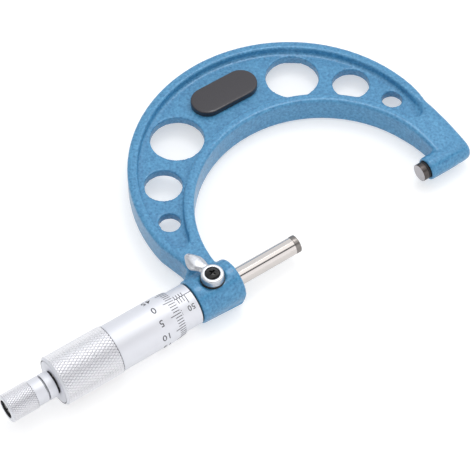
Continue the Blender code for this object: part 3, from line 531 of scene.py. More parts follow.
relaxed(bow, BOW_CELL, 2)
edit(bow)
for past_x, below_y, rounds in BOSS_ROUNDS:
    pick(bow, lambda point: point.co.x > past_x * MM and point.co.y < below_y * MM)
    bpy.ops.mesh.vertices_smooth(factor=0.5, repeat=rounds)
deselect()
paint(bow, hammered)
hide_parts("frame")
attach(bow, "bow")
tell(bow)

# %% [markdown]
# ## The pads
#
# Two black pads stop the warmth of a hand from reaching the bow. Each is a stadium: a circle whose
# two halves are pushed apart, then raised, rounded by a bevel and slightly domed by insets that
# are each lifted a little. The lower pad is the same drawing scaled by -1 in height, so its
# normals are made to point outwards again.

# %% Mould the pads
PAD_LOW, PAD_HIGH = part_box("pad_top")
PAD_CENTRE = (PAD_LOW + PAD_HIGH) / 2
PAD_END_R = (PAD_HIGH.y - PAD_LOW.y) / 2
PAD_REACH = (PAD_HIGH.x - PAD_LOW.x) / 2 - PAD_END_R
PAD_SEAT_Z = 2.35 * MM
PAD_STEPS = 64
PAD_EDGE, PAD_DOME = 0.45, 0.12
PAD_INSETS, PAD_RISE = (1.0, 1.4, 1.6), 0.04


def pad(name, side):
    """A pad on the upper side (1) or the lower side (-1) of the web."""
    deselect()
    bpy.ops.mesh.primitive_circle_add(
        vertices=PAD_STEPS,
        radius=PAD_END_R,
        fill_type="NGON",
        location=(PAD_CENTRE.x, PAD_CENTRE.y, PAD_SEAT_Z),
        rotation=(0, 0, math.pi / PAD_STEPS),
    )
    piece = settle(bpy.context.active_object, name)
    edit(piece)
    pick(piece, lambda vertex: vertex.co.x > PAD_CENTRE.x)
    bpy.ops.transform.translate(value=(PAD_REACH, 0, 0))
    pick(piece, lambda vertex: vertex.co.x < PAD_CENTRE.x)
    bpy.ops.transform.translate(value=(-PAD_REACH, 0, 0))
    bpy.ops.mesh.select_all(action="SELECT")
    bpy.ops.mesh.extrude_region_move(
        TRANSFORM_OT_translate={"value": (0, 0, PAD_HIGH.z - PAD_SEAT_Z - PAD_DOME * MM)}
    )
    point_outwards()
    pick(piece, lambda face: face.normal.z > 0.9, "faces")
    bpy.ops.mesh.bevel(offset=PAD_EDGE * MM, segments=4)
    pick(piece, lambda face: face.normal.z > 0.999, "faces")
    for inset in PAD_INSETS:
        bpy.ops.mesh.inset(thickness=inset * MM)
        bpy.ops.transform.translate(value=(0, 0, PAD_RISE * MM))
    settle(piece, name)
    if side < 0:
        deselect()
        piece.select_set(True)
        piece.scale.z = -1
        settle(piece, name)
        edit(piece)
        point_outwards()
        deselect()
    smooth(piece, 40)
    paint(piece, moulded_black)
    return piece


for name, solid, side in (
    ("pad_moulded_top", "pad_top", 1), ("pad_moulded_bottom", "pad_bottom", -1)
):
    piece = pad(name, side)
    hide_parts(solid)
    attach(piece, "bow")
    tell(piece)

# %% [markdown]
# ## The anvil and the spindle
#
# Both are ground rods with a lapped carbide tip, drawn as half sections and spun. The tips have
# finely rounded edges, and a hairline shows where the carbide is brazed on. The anvil has a ring
# left free by the grinding wheel just before the boss. The spindle ends in its screw thread and in
# the taper that carries the thimble. The thread is hidden in the sleeve, so it is drawn as a plain
# band at the thread's outer radius.

# %% Turn the anvil and its tip
ROD_R = 3.25
TIP_LENGTH = 2.0
BRAZE = 0.04
RING_START, RING_END = TIP_LENGTH + 0.7, TIP_LENGTH + 1.55
ANVIL_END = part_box("anvil")[1].x / MM

anvil_tip = turned(
    "anvil_carbide", [(0, 0), (0, ROD_R, 0.14), (TIP_LENGTH, ROD_R, 0.04), (TIP_LENGTH, 0)]
)
anvil = turned(
    "anvil_ground",
    [
        (TIP_LENGTH + BRAZE, 0),
        (TIP_LENGTH + BRAZE, ROD_R, 0.05),
        (RING_START, ROD_R),
        (RING_START + 0.05, ROD_R - 0.1),
        (RING_END - 0.05, ROD_R - 0.1),
        (RING_END, ROD_R),
        (ANVIL_END, ROD_R, 0.15),
        (ANVIL_END, 0),
    ],
)

# %% [markdown]
# The spindle is drawn from its measuring face backwards: the carbide tip, the ground rod that runs
# in the hub, the thread and the taper. Its pieces ride on two bodies, because the tip slides
# without turning in the model, while the rod turns with the thimble.

# %% Turn the spindle and its tip
SPINDLE_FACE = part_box("spindle_tip")[1].x / MM
SPINDLE_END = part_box("spindle")[0].x / MM
THREAD_FRONT, THREAD_REAR, THREAD_R = -101.0, -137.7, 3.35
TAPER_FRONT, TAPER_R, TAPER_END_R = -139.9, 3.9, 3.0
tip_rear = SPINDLE_FACE - TIP_LENGTH
spindle_tip = turned(
    "spindle_carbide",
    [(SPINDLE_FACE, 0), (SPINDLE_FACE, ROD_R, 0.14), (tip_rear, ROD_R, 0.04), (tip_rear, 0)],
)
spindle = turned(
    "spindle_ground",
    [
        (tip_rear - BRAZE, 0),
        (tip_rear - BRAZE, ROD_R, 0.05),
        (THREAD_FRONT, ROD_R),
        (THREAD_FRONT - 0.3, THREAD_R),
        (THREAD_REAR, THREAD_R),
        (THREAD_REAR - 0.3, ROD_R),
        (TAPER_FRONT + 0.3, ROD_R),
        (TAPER_FRONT, TAPER_R),
        (SPINDLE_END, TAPER_END_R, 0.2),
        (SPINDLE_END, 0),
    ],
)
# The anvil's tip gets the carbide painted darker as shade, and the spindle's tip gets the copy painted
# lighter as lit.
for piece, material, slot, solid, body in (
    (anvil_tip, carbide, "carbide", "anvil_tip", "bow"),
    (anvil, ground_steel, "ground steel", "anvil", "bow"),
    (spindle_tip, carbide_painted_lit, "carbide", "spindle_tip", "slide"),
    (spindle, ground_steel, "ground steel", "spindle", "screw"),
):
    paint(piece, material)
    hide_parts(solid)
    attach(piece, body)
    tell(piece)

# %% [markdown]
# The measuring faces are lapped, so they are paler and smoother than the ground sides of the carbide.
# They are found by the way they face. On the anvil the free ring and the steel before it are painted
# dark, as painted shade from the boss.

# %% Lap the measuring faces
# Painted shade on the anvil's free ring and the steel before it.
darken(anvil, lambda x, r: x < RING_END + 0.05)
for piece, side in ((anvil_tip, -1), (spindle_tip, 1)):
    piece.data.materials.append(lapped)
    for face in piece.data.polygons:
        if face.normal.x * side > 0.99:
            face.material_index = 1
print("gap between the measuring faces, mm:", round(-SPINDLE_FACE, 2))

# %% [markdown]
# ## Marks and numbers
#
# A mark is a strip of a grid, so that it has enough points to bend round the sleeve, with a little
# depth. Numbers are text made into a mesh and cut finer for the same reason. For someone who holds
# the bow on the left, the text runs towards the thimble, so flat text is turned by half a turn.


# %% Draw marks and numbers flat
MARK_TOP, MARK_DEPTH = 0.03, 0.08
TYPE_SIZE, INK_SPREAD = 1.38, 0.01


def strip(x_low, x_high, y_low, y_high, bends=1):
    """A thin flat bar between two corners in mm, cut across into bends pieces."""
    deselect()
    bpy.ops.mesh.primitive_grid_add(x_subdivisions=1, y_subdivisions=bends, size=1)
    piece = bpy.context.active_object
    piece.scale = ((x_high - x_low) * MM, (y_high - y_low) * MM, 1)
    piece.location = ((x_low + x_high) / 2 * MM, (y_low + y_high) / 2 * MM, MARK_TOP * MM)
    settle(piece, "mark")
    apply_modifier(piece, "SOLIDIFY", thickness=MARK_DEPTH * MM, offset=-1.0)
    return piece


def number(text, x, y, height):
    """A number in mm of height, centred at a flat place, read from the bow's side."""
    deselect()
    bpy.ops.object.text_add(location=(x * MM, y * MM, 0), rotation=(0, 0, math.pi))
    piece = bpy.context.active_object
    piece.data.body = text
    piece.data.size = height * TYPE_SIZE * MM
    piece.data.align_x = "CENTER"
    piece.data.align_y = "CENTER"
    piece.data.extrude = MARK_TOP * MM
    piece.data.offset = INK_SPREAD * MM
    piece.data.space_character = 1.1
    bpy.ops.object.convert(target="MESH")
    piece = settle(bpy.context.active_object, "number_" + text)
    edit(piece)
    bpy.ops.mesh.select_all(action="SELECT")
    bpy.ops.mesh.remove_doubles(threshold=1e-7)
    bpy.ops.mesh.quads_convert_to_tris()
    bpy.ops.mesh.subdivide(number_cuts=1)
    deselect()
    return piece


# %% [markdown]
# ## The sleeve and its scale
#
# The datum line runs along the sleeve. Whole millimetres are marked on the side with the numbers, half
# millimetres on the other side, and every fifth millimetre is longer and numbered. The marks are drawn
# flat, joined and rolled on to the sleeve. A fine groove at its front end, painted dark as shade, parts
# it from the hub.

# %% Turn the sleeve
SLEEVE_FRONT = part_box("graduated_sleeve")[1].x / MM
SLEEVE_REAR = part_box("graduated_sleeve")[0].x / MM
SLEEVE_R, SLEEVE_WALL = 7.6, 0.9
SLEEVE_GROOVE, SLEEVE_GROOVE_DEPTH = 0.3, 0.35

sleeve = turned(
    "sleeve_turned",
    [
        (SLEEVE_FRONT, SLEEVE_R - SLEEVE_GROOVE_DEPTH),
        (SLEEVE_FRONT - SLEEVE_GROOVE, SLEEVE_R - SLEEVE_GROOVE_DEPTH),
        (SLEEVE_FRONT - SLEEVE_GROOVE - 0.02, SLEEVE_R, 0.05),
        (SLEEVE_REAR, SLEEVE_R, 0.1),
        (SLEEVE_REAR, SLEEVE_R - SLEEVE_WALL),
        (SLEEVE_FRONT, SLEEVE_R - SLEEVE_WALL),
    ],
    128,
)
paint(sleeve, satin_chrome)
# Painted shade in the groove at the sleeve's front end.
darken(sleeve, lambda x, r: x > SLEEVE_FRONT - SLEEVE_GROOVE - 0.03 and r < SLEEVE_R - 0.05)
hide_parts("graduated_sleeve")
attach(sleeve, "sleeve")
tell(sleeve)

# %% [markdown]
# The scale starts at 50, a little behind the hub, and has a mark for every half millimetre of the
# thimble's travel. The flat marks and numbers are joined into one piece each, so that they are
# rolled in one go.

# %% Mark the sleeve
SCALE_X, SCALE_SPAN = -101.1, 25
LINE = 0.24
FIFTH_MARK, WHOLE_MARK, HALF_MARK = 3.3, 2.1, 1.5
NUMBER_Y, NUMBER_HEIGHT = -5.0, 2.0

marks = [strip(SLEEVE_REAR + 0.3, SLEEVE_FRONT - 0.35, -LINE / 2, LINE / 2)]
for step in range(SCALE_SPAN + 1):
    x = SCALE_X - step
    reach = FIFTH_MARK if step % 5 == 0 else WHOLE_MARK
    marks.append(strip(x - LINE / 2, x + LINE / 2, -reach, 0, 6))
    if step < SCALE_SPAN:
        marks.append(strip(x - 0.5 - LINE / 2, x - 0.5 + LINE / 2, 0, HALF_MARK, 4))
numbers = []
for step in range(0, SCALE_SPAN + 1, 5):
    numbers.append(number(str(50 + step), SCALE_X - step, NUMBER_Y, NUMBER_HEIGHT))
sleeve_marks = rolled(joined(marks, "sleeve_marks"), SLEEVE_R)
sleeve_numbers = rolled(joined(numbers, "sleeve_numbers"), SLEEVE_R)
for piece in (sleeve_marks, sleeve_numbers):
    paint(piece, mark_ink)
    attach(piece, "sleeve")
print("sleeve marks:", len(marks), "numbers:", len(numbers))

# %% [markdown]
# ## Knurling
#
# Two knurling wheels cross at thirty degrees to the axis and press rows of flat-topped pyramids
# into the grip, each longer along the axis than round it. One pyramid is modelled, Array modifiers
# repeat it in two directions, and a second set fills the gaps between them. The sheet is trimmed at
# both ends by bisecting it, and then rolled on to the grip.


# %% Press a knurl
def pyramid(name, x, y, length, width, height):
    """A four-sided pyramid with a flat top, standing a little in the metal below it."""
    deselect()
    bpy.ops.mesh.primitive_circle_add(vertices=4, radius=0.5, fill_type="NGON")
    piece = bpy.context.active_object
    piece.scale = (length * MM, width * MM, 1)
    piece.location = (x * MM, y * MM, -0.02 * MM)
    settle(piece, name)
    edit(piece)
    bpy.ops.mesh.select_all(action="SELECT")
    bpy.ops.mesh.extrude_region_move(TRANSFORM_OT_translate={"value": (0, 0, height * MM)})
    bpy.ops.transform.resize(value=(0.5, 0.5, 1))
    point_outwards()
    deselect()
    return piece


def array(piece, count, offset):
    """Repeat a piece count times, each an offset in mm from the last."""
    apply_modifier(
        piece,
        "ARRAY",
        count=count,
        use_relative_offset=False,
        use_constant_offset=True,
        constant_offset_displace=Vector(offset) * MM,
    )


def trim(piece, x, side):
    """Cut a flat piece off at x mm, and drop what lies on one side (1 or -1) of the cut."""
    edit(piece)
    bpy.ops.mesh.select_all(action="SELECT")
    bpy.ops.mesh.bisect(
        plane_co=(x * MM, 0, 0), plane_no=(side, 0, 0), use_fill=True, clear_outer=True
    )
    bpy.ops.mesh.select_all(action="SELECT")
    bpy.ops.mesh.delete_loose()
    deselect()


def knurl(name, front, rear, radius, around, length, height):
    """A knurl between two places along the axis: around pyramids in a turn, each length mm long."""
    pitch = TURN * radius / around
    rows = math.ceil((front - rear) / length) + 1
    sets = []
    for shift in (0.0, 0.5):
        piece = pyramid(name, rear + length * shift, pitch * shift, length, pitch, height)
        array(piece, rows, (length, 0, 0))
        array(piece, around, (0, pitch, 0))
        sets.append(piece)
    sheet = joined(sets, name)
    trim(sheet, front, 1)
    trim(sheet, rear, -1)
    return rolled(sheet, radius)


# %% [markdown]
# ## The thimble
#
# The thimble's bevelled front edge carries fifty divisions, one for each hundredth of a
# millimetre. Behind the plain barrel comes the knurled grip. A narrow bevel and a fine groove end
# it. The section is spun, and the knurl's sheet of pyramids is laid over a grip that is turned
# smaller by the knurl's depth.

# %% Turn the thimble
THIMBLE_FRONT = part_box("thimble")[1].x / MM
THIMBLE_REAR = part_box("thimble")[0].x / MM
EDGE_R, BARREL_R, GRIP_R = 7.95, 8.5, 8.95
KNURL_DEPTH = 0.35
BEVEL_LENGTH = 4.6
BEVEL_END = THIMBLE_FRONT - BEVEL_LENGTH
GRIP_FRONT = THIMBLE_REAR + 22.5
THIMBLE_AROUND, THIMBLE_DIAMOND = 48, 2.05
BORE_END, BORE_R, NECK_HOLE_R = -140.7, 7.75, 4.2

thimble = turned(
    "thimble_turned",
    [
        (THIMBLE_FRONT, EDGE_R, 0.08),
        (BEVEL_END, BARREL_R, 0.8),
        (GRIP_FRONT + 0.35, BARREL_R, 0.02),
        (GRIP_FRONT + 0.3, BARREL_R - 0.12, 0.02),
        (GRIP_FRONT + 0.1, BARREL_R - 0.12, 0.02),
        (GRIP_FRONT, GRIP_R - 0.15, 0.05),
        (GRIP_FRONT - 0.3, GRIP_R - KNURL_DEPTH),
        (THIMBLE_REAR + 0.75, GRIP_R - KNURL_DEPTH),
        (THIMBLE_REAR + 0.7, GRIP_R - 0.1, 0.03),
        (THIMBLE_REAR + 0.1, GRIP_R - 0.6, 0.05),
        (THIMBLE_REAR, GRIP_R - 0.85, 0.03),
        (THIMBLE_REAR + 0.25, GRIP_R - 0.87),
        (THIMBLE_REAR + 0.25, GRIP_R - 1.12),
        (THIMBLE_REAR, GRIP_R - 1.14, 0.03),
        (THIMBLE_REAR, NECK_HOLE_R),
        (BORE_END, NECK_HOLE_R),
        (BORE_END, BORE_R - 0.95),
        (BORE_END + 1.0, BORE_R),
        (THIMBLE_FRONT, BORE_R),
    ],
    160,
)
grip = knurl(
    "thimble_knurl",
    GRIP_FRONT - 0.25,
    THIMBLE_REAR + 0.75,
    GRIP_R - KNURL_DEPTH,
    THIMBLE_AROUND,
    THIMBLE_DIAMOND,
    KNURL_DEPTH,
)
print("knurl faces:", len(grip.data.polygons))

# %% [markdown]
# The divisions lie on the cone of the bevel. They are drawn flat, repeated by Array modifiers,
# rolled, and then each point is moved out to the cone's own radius. Every fifth division is longer
# and has a number on the barrel behind it.

# %% Mark the thimble
DIVISIONS = 50
DIVISION = TURN * EDGE_R / DIVISIONS
LONG_MARK, SHORT_MARK, MARK_GAP = 4.4, 2.9, 0.35
DIGITS_X, DIGIT_HEIGHT = THIMBLE_FRONT - 8.2, 2.5

long_marks = strip(THIMBLE_FRONT - LONG_MARK, THIMBLE_FRONT - MARK_GAP, -LINE / 2, LINE / 2)
array(long_marks, DIVISIONS // 5, (0, -DIVISION * 5, 0))
short_marks = strip(
    THIMBLE_FRONT - SHORT_MARK,
    THIMBLE_FRONT - MARK_GAP,
    -LINE / 2 - DIVISION,
    LINE / 2 - DIVISION,
)
array(short_marks, 4, (0, -DIVISION, 0))
array(short_marks, DIVISIONS // 5, (0, -DIVISION * 5, 0))
thimble_marks = rolled(joined([long_marks, short_marks], "thimble_marks"), EDGE_R)
for vertex in thimble_marks.data.vertices:
    share = (THIMBLE_FRONT * MM - vertex.co.x) / (BEVEL_LENGTH * MM)
    out = 1 + share * (BARREL_R - EDGE_R) / EDGE_R
    vertex.co.y *= out
    vertex.co.z *= out

numbers = []
spacing = TURN * BARREL_R / 10
for index in range(10):
    numbers.append(number(str(index * 5), DIGITS_X, -index * spacing, DIGIT_HEIGHT))
thimble_numbers = rolled(joined(numbers, "thimble_numbers"), BARREL_R)
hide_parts("thimble")
for piece, material in (
    (thimble, satin_chrome),
    (grip, knurl_chrome),
    (thimble_marks, mark_ink),
    (thimble_numbers, mark_ink),
):
    paint(piece, material)
    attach(piece, "screw")
    tell(piece)

# %% [markdown]
# Between the pyramids of a knurl the chrome holds some dirt and lies in shade, while fingers keep the
# crests bright. So the turned grip under the pyramids is painted darker than they are, for dirt and
# painted shade, and it is found by its radius. The groove at the thimble's end is painted dark as
# shade.


# %% Paint dirt and shade under the knurl
def groove(piece, front, rear, radius):
    """Give the faces of a turned grip between two places, below a radius in mm, a darker finish for
    dirt and painted shade.
    """
    piece.data.materials.append(groove_dirt_and_shade)
    for face in piece.data.polygons:
        x, y, z = face.center / MM
        if rear < x < front and math.hypot(y, z) < radius:
            face.material_index = len(piece.data.materials) - 1


groove(thimble, GRIP_FRONT, THIMBLE_REAR + 0.74, GRIP_R - KNURL_DEPTH / 2)
# Painted shade in the groove at the thimble's end.
darken(thimble, lambda x, r: x < THIMBLE_REAR + 0.3 and GRIP_R - 1.13 < r < GRIP_R - 0.86)

# %% [markdown]
# ## The ratchet stop
#
# Behind the thimble come a neck, a collar and the knurled knob, whose end recess shows the head of the
# slotted screw that holds it. The knob is turned with the same spun section and knurled sheet as the
# thimble. The thin gap that parts it from the collar and the inside of its recess are painted dark as
# shade.

# %% Turn the ratchet knob
KNOB_FRONT, KNOB_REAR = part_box("ratchet_knob")[1].x / MM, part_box("ratchet_knob")[0].x / MM
KNOB_R, KNOB_GRIP_R, KNOB_DEPTH = 4.7, 5.1, 0.3
RECESS_R, RECESS_FLOOR = 3.3, KNOB_REAR + 3.4
SPIGOT_HOLE_R, KNOB_BORE_R = 1.85, 3.85
KNOB_AROUND, KNOB_DIAMOND = 39, 1.48

ratchet_knob = turned(
    "ratchet_knob_turned",
    [
        (KNOB_FRONT, KNOB_R - 0.5),
        (KNOB_FRONT - 0.2, KNOB_R - 0.48),
        (KNOB_FRONT - 0.2, KNOB_R, 0.05),
        (KNOB_FRONT - 3.9, KNOB_R),
        (KNOB_FRONT - 4.25, KNOB_GRIP_R - 0.16, 0.05),
        (KNOB_FRONT - 4.4, KNOB_GRIP_R - KNOB_DEPTH),
        (KNOB_REAR + 0.5, KNOB_GRIP_R - KNOB_DEPTH),
        (KNOB_REAR + 0.35, KNOB_GRIP_R - 0.08, 0.03),
        (KNOB_REAR, KNOB_GRIP_R - 0.4, 0.08),
        (KNOB_REAR, RECESS_R + 0.1, 0.08),
        (KNOB_REAR + 0.2, RECESS_R),
        (RECESS_FLOOR, RECESS_R),
        (RECESS_FLOOR, SPIGOT_HOLE_R),
        (RECESS_FLOOR + 2.0, SPIGOT_HOLE_R),
        (RECESS_FLOOR + 2.0, KNOB_BORE_R),
        (KNOB_FRONT, KNOB_BORE_R),
    ],
    128,
)
knob_knurl = knurl(
    "ratchet_knob_knurl",
    KNOB_FRONT - 4.3,
    KNOB_REAR + 0.4,
    KNOB_GRIP_R - KNOB_DEPTH,
    KNOB_AROUND,
    KNOB_DIAMOND,
    KNOB_DEPTH,
)
for piece, material in ((ratchet_knob, satin_chrome), (knob_knurl, knurl_chrome)):
    paint(piece, material)
    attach(piece, "knob")
# Dirt and painted shade under the knob's knurl, as on the thimble.
groove(ratchet_knob, KNOB_FRONT - 4.1, KNOB_REAR + 0.6, KNOB_GRIP_R - KNOB_DEPTH / 2)
# Painted shade in the gap before the collar and inside the recess.
darken(
    ratchet_knob,
    lambda x, r: x > KNOB_FRONT - 0.19
    or (KNOB_REAR + 0.1 < x < RECESS_FLOOR + 2 and r < RECESS_R + 0.05),
)
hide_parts("ratchet_knob")
tell(ratchet_knob, knob_knurl)

# %% [markdown]
# The screw at the end is a cheese-head screw. Its slot is milled straight across, which is a
# Boolean cut with a bar, and the washer below it is stamped with slightly round edges. The head
# stands a little higher than the solid's, because the photo shows it near the recess's mouth.

# %% Slot the end screw
SCREW_RAISED = 0.75
SCREW_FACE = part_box("ratchet_screw")[0].x / MM - SCREW_RAISED
SCREW_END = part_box("ratchet_screw")[1].x / MM
HEAD_R, HEAD_BACK = 2.3, SCREW_FACE + 2.05


def cut(piece, tool):
    """Cut a tool out of a piece, and remove the tool."""
    apply_modifier(piece, "BOOLEAN", operation="DIFFERENCE", object=tool, solver="EXACT")
    bpy.data.objects.remove(tool)
    smooth(piece)


end_screw = turned(
    "end_screw_turned",
    [
        (SCREW_FACE, 0),
        (SCREW_FACE, HEAD_R, 0.25),
        (HEAD_BACK, HEAD_R, 0.06),
        (HEAD_BACK, 0.9),
        (SCREW_END - 0.2, 0.9),
        (SCREW_END, 0.7),
        (SCREW_END, 0),
    ],
    64,
)
deselect()
bpy.ops.mesh.primitive_cube_add(size=MM, location=(SCREW_FACE * MM, 0, 0))
slot = bpy.context.active_object
slot.scale = (1.4, 0.6, 6)
slot.rotation_euler = (math.radians(25), 0, 0)
settle(slot, "slot_tool")
cut(end_screw, slot)
end_washer = turned(
    "end_washer_stamped",
    [
        (HEAD_BACK + 0.06, 1.1),
        (HEAD_BACK + 0.06, 2.9, 0.1),
        (HEAD_BACK + 0.54, 2.9, 0.1),
        (HEAD_BACK + 0.54, 1.1),
    ],
    64,
)
for piece, solid in ((end_screw, "ratchet_screw"), (end_washer, "ratchet_washer")):
    paint(piece, bright_steel)
    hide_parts(solid)
    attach(piece, "screw")
    tell(piece)

# %% [markdown]
# ## The spindle lock
#
# The lever is a small forging. Its leaf is lofted: a round section is extruded from place to place
# along the leaf, and each time it is made wider or narrower. The upper points in the middle are
# then lifted to a ridge.

# %% Loft the lever's leaf
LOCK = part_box("lock_washer")[0].lerp(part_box("lock_washer")[1], 0.5)
LOCK_X, LOCK_Y = LOCK.x / MM, LOCK.y / MM
LEAF_LOW, LEAF_HIGH = 8.2, 9.9
LEAF = (
    (2.0, 0.1, 2.3),
    (3.2, -0.15, 2.35),
    (4.3, -0.6, 2.3),
    (5.1, -1.2, 2.6),
    (5.9, -1.55, 3.05),
    (6.9, -1.75, 3.25),
    (8.0, -1.8, 3.2),
    (9.1, -1.85, 2.9),
    (10.1, -1.95, 2.4),
    (11.0, -2.1, 1.85),
    (11.8, -2.25, 1.3),
    (12.35, -2.35, 0.75),
)


def loft_leaf(name):
    """Extrude a round section along the stations (along y, middle x, half width) of the leaf."""
    middle_z = (LEAF_LOW + LEAF_HIGH) / 2
    along, middle, half = LEAF[0]
    deselect()
    bpy.ops.mesh.primitive_circle_add(
        vertices=24, radius=MM, fill_type="NGON", rotation=(math.pi / 2, 0, 0)
    )
    piece = bpy.context.active_object
    piece.scale = (half, (LEAF_HIGH - LEAF_LOW) / 2, 1)
    piece.location = Vector((LOCK_X + middle, LOCK_Y + along, middle_z)) * MM
    settle(piece, name)
    edit(piece)
    bpy.ops.mesh.select_all(action="SELECT")
    for before, after in zip(LEAF, LEAF[1:]):
        shift = Vector((after[1] - before[1], after[0] - before[0], 0)) * MM
        bpy.ops.mesh.extrude_region_move(TRANSFORM_OT_translate={"value": shift})
        bpy.ops.transform.resize(value=(after[2] / before[2], 1, (after[2] / before[2]) ** 0.4))
    point_outwards()
    return piece


leaf = loft_leaf("lever_forged")
ridge_z = (LEAF_HIGH - 0.12) * MM
pick(leaf, lambda point: point.co.z > ridge_z and point.co.y > (LOCK_Y + 3.5) * MM)
bpy.ops.transform.translate(value=(0.1 * MM, 0, 0.45 * MM))
deselect()
print("leaf points:", len(leaf.data.vertices))

# %% [markdown]
# The boss that the leaf grows out of is turned, with a recess for the screw's head. Boss and leaf
# are joined and rebuilt as one skin of fine cells, and relaxed. That leaves the soft joint of a
# forging that was tumbled before it was plated.

# %% Forge the lever
LEVER_CELL = 0.13
LEVER_RECESS_R, LEVER_BORE_R = 2.65, 1.3
BOSS_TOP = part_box("lock_lever")[1].z / MM
BOSS_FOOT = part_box("lock_lever")[0].z / MM
boss = turned(
    "lever_boss",
    [
        (BOSS_FOOT, LEVER_BORE_R),
        (BOSS_FOOT, 4.05, 0.1),
        (BOSS_TOP, 3.95, 0.6),
        (BOSS_TOP, LEVER_RECESS_R, 0.1),
        (BOSS_TOP - 0.6, LEVER_RECESS_R),
        (BOSS_TOP - 0.6, LEVER_BORE_R),
    ],
    96,
    (LOCK_X, LOCK_Y),
)
lever = joined([leaf, boss], "lever_forged")
relaxed(lever, LEVER_CELL, 4)
paint(lever, tumbled_chrome)
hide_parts("lock_lever")
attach(lever, "lock")
tell(lever)

# %% [markdown]
# The lock's screw is a domed black one with a cross recess. The recess is cut by two bars that
# narrow towards the bottom, one copied from the other and turned by a quarter.

# %% Cut the lock's screw
SCREW_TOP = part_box("lock_screw")[1].z / MM
SCREW_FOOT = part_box("lock_screw")[0].z / MM
SEAT = SCREW_TOP - 1.1

lock_screw = turned(
    "lock_screw_turned",
    [
        (SCREW_TOP, 0),
        (SCREW_TOP - 0.12, 1.2),
        (SCREW_TOP - 0.45, 2.05),
        (SCREW_TOP - 0.8, 2.45, 0.1),
        (SEAT, 2.45, 0.1),
        (SEAT, 1.1),
        (SCREW_FOOT + 0.2, 1.1),
        (SCREW_FOOT, 0.9),
        (SCREW_FOOT, 0),
    ],
    64,
    (LOCK_X, LOCK_Y),
)
for quarter in range(2):
    deselect()
    bpy.ops.mesh.primitive_cube_add(size=MM)
    bar = bpy.context.active_object
    bar.scale = (3.2, 0.8, 1.9)
    settle(bar, "cross_tool")
    edit(bar)
    pick(bar, lambda face: face.normal.z < -0.9, "faces")
    bpy.ops.transform.resize(value=(0.6, 0.6, 1))
    deselect()
    bar.rotation_euler.z = math.radians(22 + 90 * quarter)
    bar.location = Vector((LOCK_X, LOCK_Y, SCREW_TOP + 0.05)) * MM
    bar.select_set(True)
    settle(bar, "cross_tool")
    cut(lock_screw, bar)
lock_washer = turned(
    "lock_washer_turned",
    [
        (BOSS_FOOT - 0.65, 1.3),
        (BOSS_FOOT - 0.65, 4.3, 0.08),
        (BOSS_FOOT - 0.06, 4.3, 0.12),
        (BOSS_FOOT - 0.06, 1.3),
    ],
    96,
    (LOCK_X, LOCK_Y),
)
for piece, solid in ((lock_screw, "lock_screw"), (lock_washer, "lock_washer")):
    paint(piece, blackened)
    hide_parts(solid)
    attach(piece, "lock")
    tell(piece)

# %% [markdown]
# ## The pieces inside
#
# The pieces that show only when the micrometer is taken apart keep the shape of their solids. A merged
# copy of each gets fine broken edges from the Bevel modifier, and the finish of the real piece. The
# coil spring has no edges to break, so its solid stays and only gets its finish. Of the ratchet's body
# the collar shows outside. Its front is brought nearer to the thimble, as in the photo, and the short
# neck between them is painted dark as shade.

# %% Break the edges of the pieces inside
INSIDE = (
    ("ratchet_body", 0.1, satin_chrome, "satin chrome", "screw"),
    ("inner_sleeve", 0.08, bright_steel, "ground steel", "bow"),
    ("adjusting_nut", 0.1, turned_brass, "brass", "bow"),
    ("ratchet_clutch", 0.05, bright_steel, "ground steel", "clutch"),
    ("lock_stud", 0.08, bright_steel, "ground steel", "lock"),
    ("lock_shoe", 0.08, turned_brass, "brass", "bow"),
)
NECK_R, COLLAR_FRONT, COLLAR_NEARER = 3.9, THIMBLE_REAR - 1.35, 0.6

for solid, width, material, slot, body in INSIDE:
    piece = copied(solid + "_finished", solid)
    if solid == "ratchet_body":
        edit(piece)
        pick(piece, lambda point: abs(point.co.x / MM - COLLAR_FRONT) < 0.35)
        bpy.ops.transform.translate(value=(COLLAR_NEARER * MM, 0, 0))
        deselect()
    apply_modifier(
        piece, "BEVEL", width=width * MM, segments=2, limit_method="ANGLE", angle_limit=math.radians(40)
    )
    smooth(piece, 40)
    paint(piece, material)
    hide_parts(solid)
    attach(piece, body)
    tell(piece)

neck = bpy.data.objects["ratchet_body_finished"]
# Painted shade on the short neck between the collar and the thimble.
darken(neck, lambda x, r: x > COLLAR_FRONT and r < NECK_R + 0.02)

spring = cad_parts["ratchet_spring"]
spring.data.materials.clear()
spring.data.materials.append(bright_steel)

# %% [markdown]
# ## Floor, light and camera
#
# The micrometer rests on the thimble's grip, the hub and the far side of the bow, so the table is
# a plane through those three places. It is white like the photo's background. A faint glow makes
# it light the undersides as the photographer's table does, and the camera sees a little more of
# it, so that only the shadows that the tool throws stay grey.

# %% Lay the table
deselect()
bpy.ops.mesh.primitive_plane_add(size=6)
table = bpy.context.active_object
table.name = "table"
TABLE_Z, TABLE_GLOW, CAMERA_GLOW = -8.97, 0.34, 0.18
GRIP_X = -130.8
SLOPE_X, SLOPE_Y = 0.0169, 0.0212
for vertex in table.data.vertices:
    x, y = vertex.co.x, vertex.co.y
    vertex.co.z = TABLE_Z * MM + SLOPE_X * (x - GRIP_X * MM) + SLOPE_Y * y
print("table slopes, mm per 100 mm:", round(SLOPE_X * 100, 1), round(SLOPE_Y * 100, 1))
white_table, shader = finish_named("white table", Roughness=0.6)
shader.inputs["Base Color"].default_value = linear("CFCFCF")
camera_ray = node(white_table, "ShaderNodeLightPath").outputs["Is Camera Ray"]
glow = node(
    white_table,
    "ShaderNodeMath",
    {0: camera_ray, 1: CAMERA_GLOW, 2: TABLE_GLOW},
    operation="MULTIPLY_ADD",
)
shader.inputs["Emission Color"].default_value = linear("FFFFFF")
feed(white_table, shader, Emission_Strength=glow.outputs["Value"])
paint(table, white_table)

# %% [markdown]
# The room is a light tent, and what it looks like is read off the polished spindle. Going over the
# tool from the far side to the photographer's, there is a pale wall, a bright panel overhead, a
# dark gap where the camera looks in, and a bright panel in front. The tent is given as greys over
# that angle round the spindle's axis, and it is dimmer towards the thimble's end. One soft lamp
# behind the bow stands for the window.

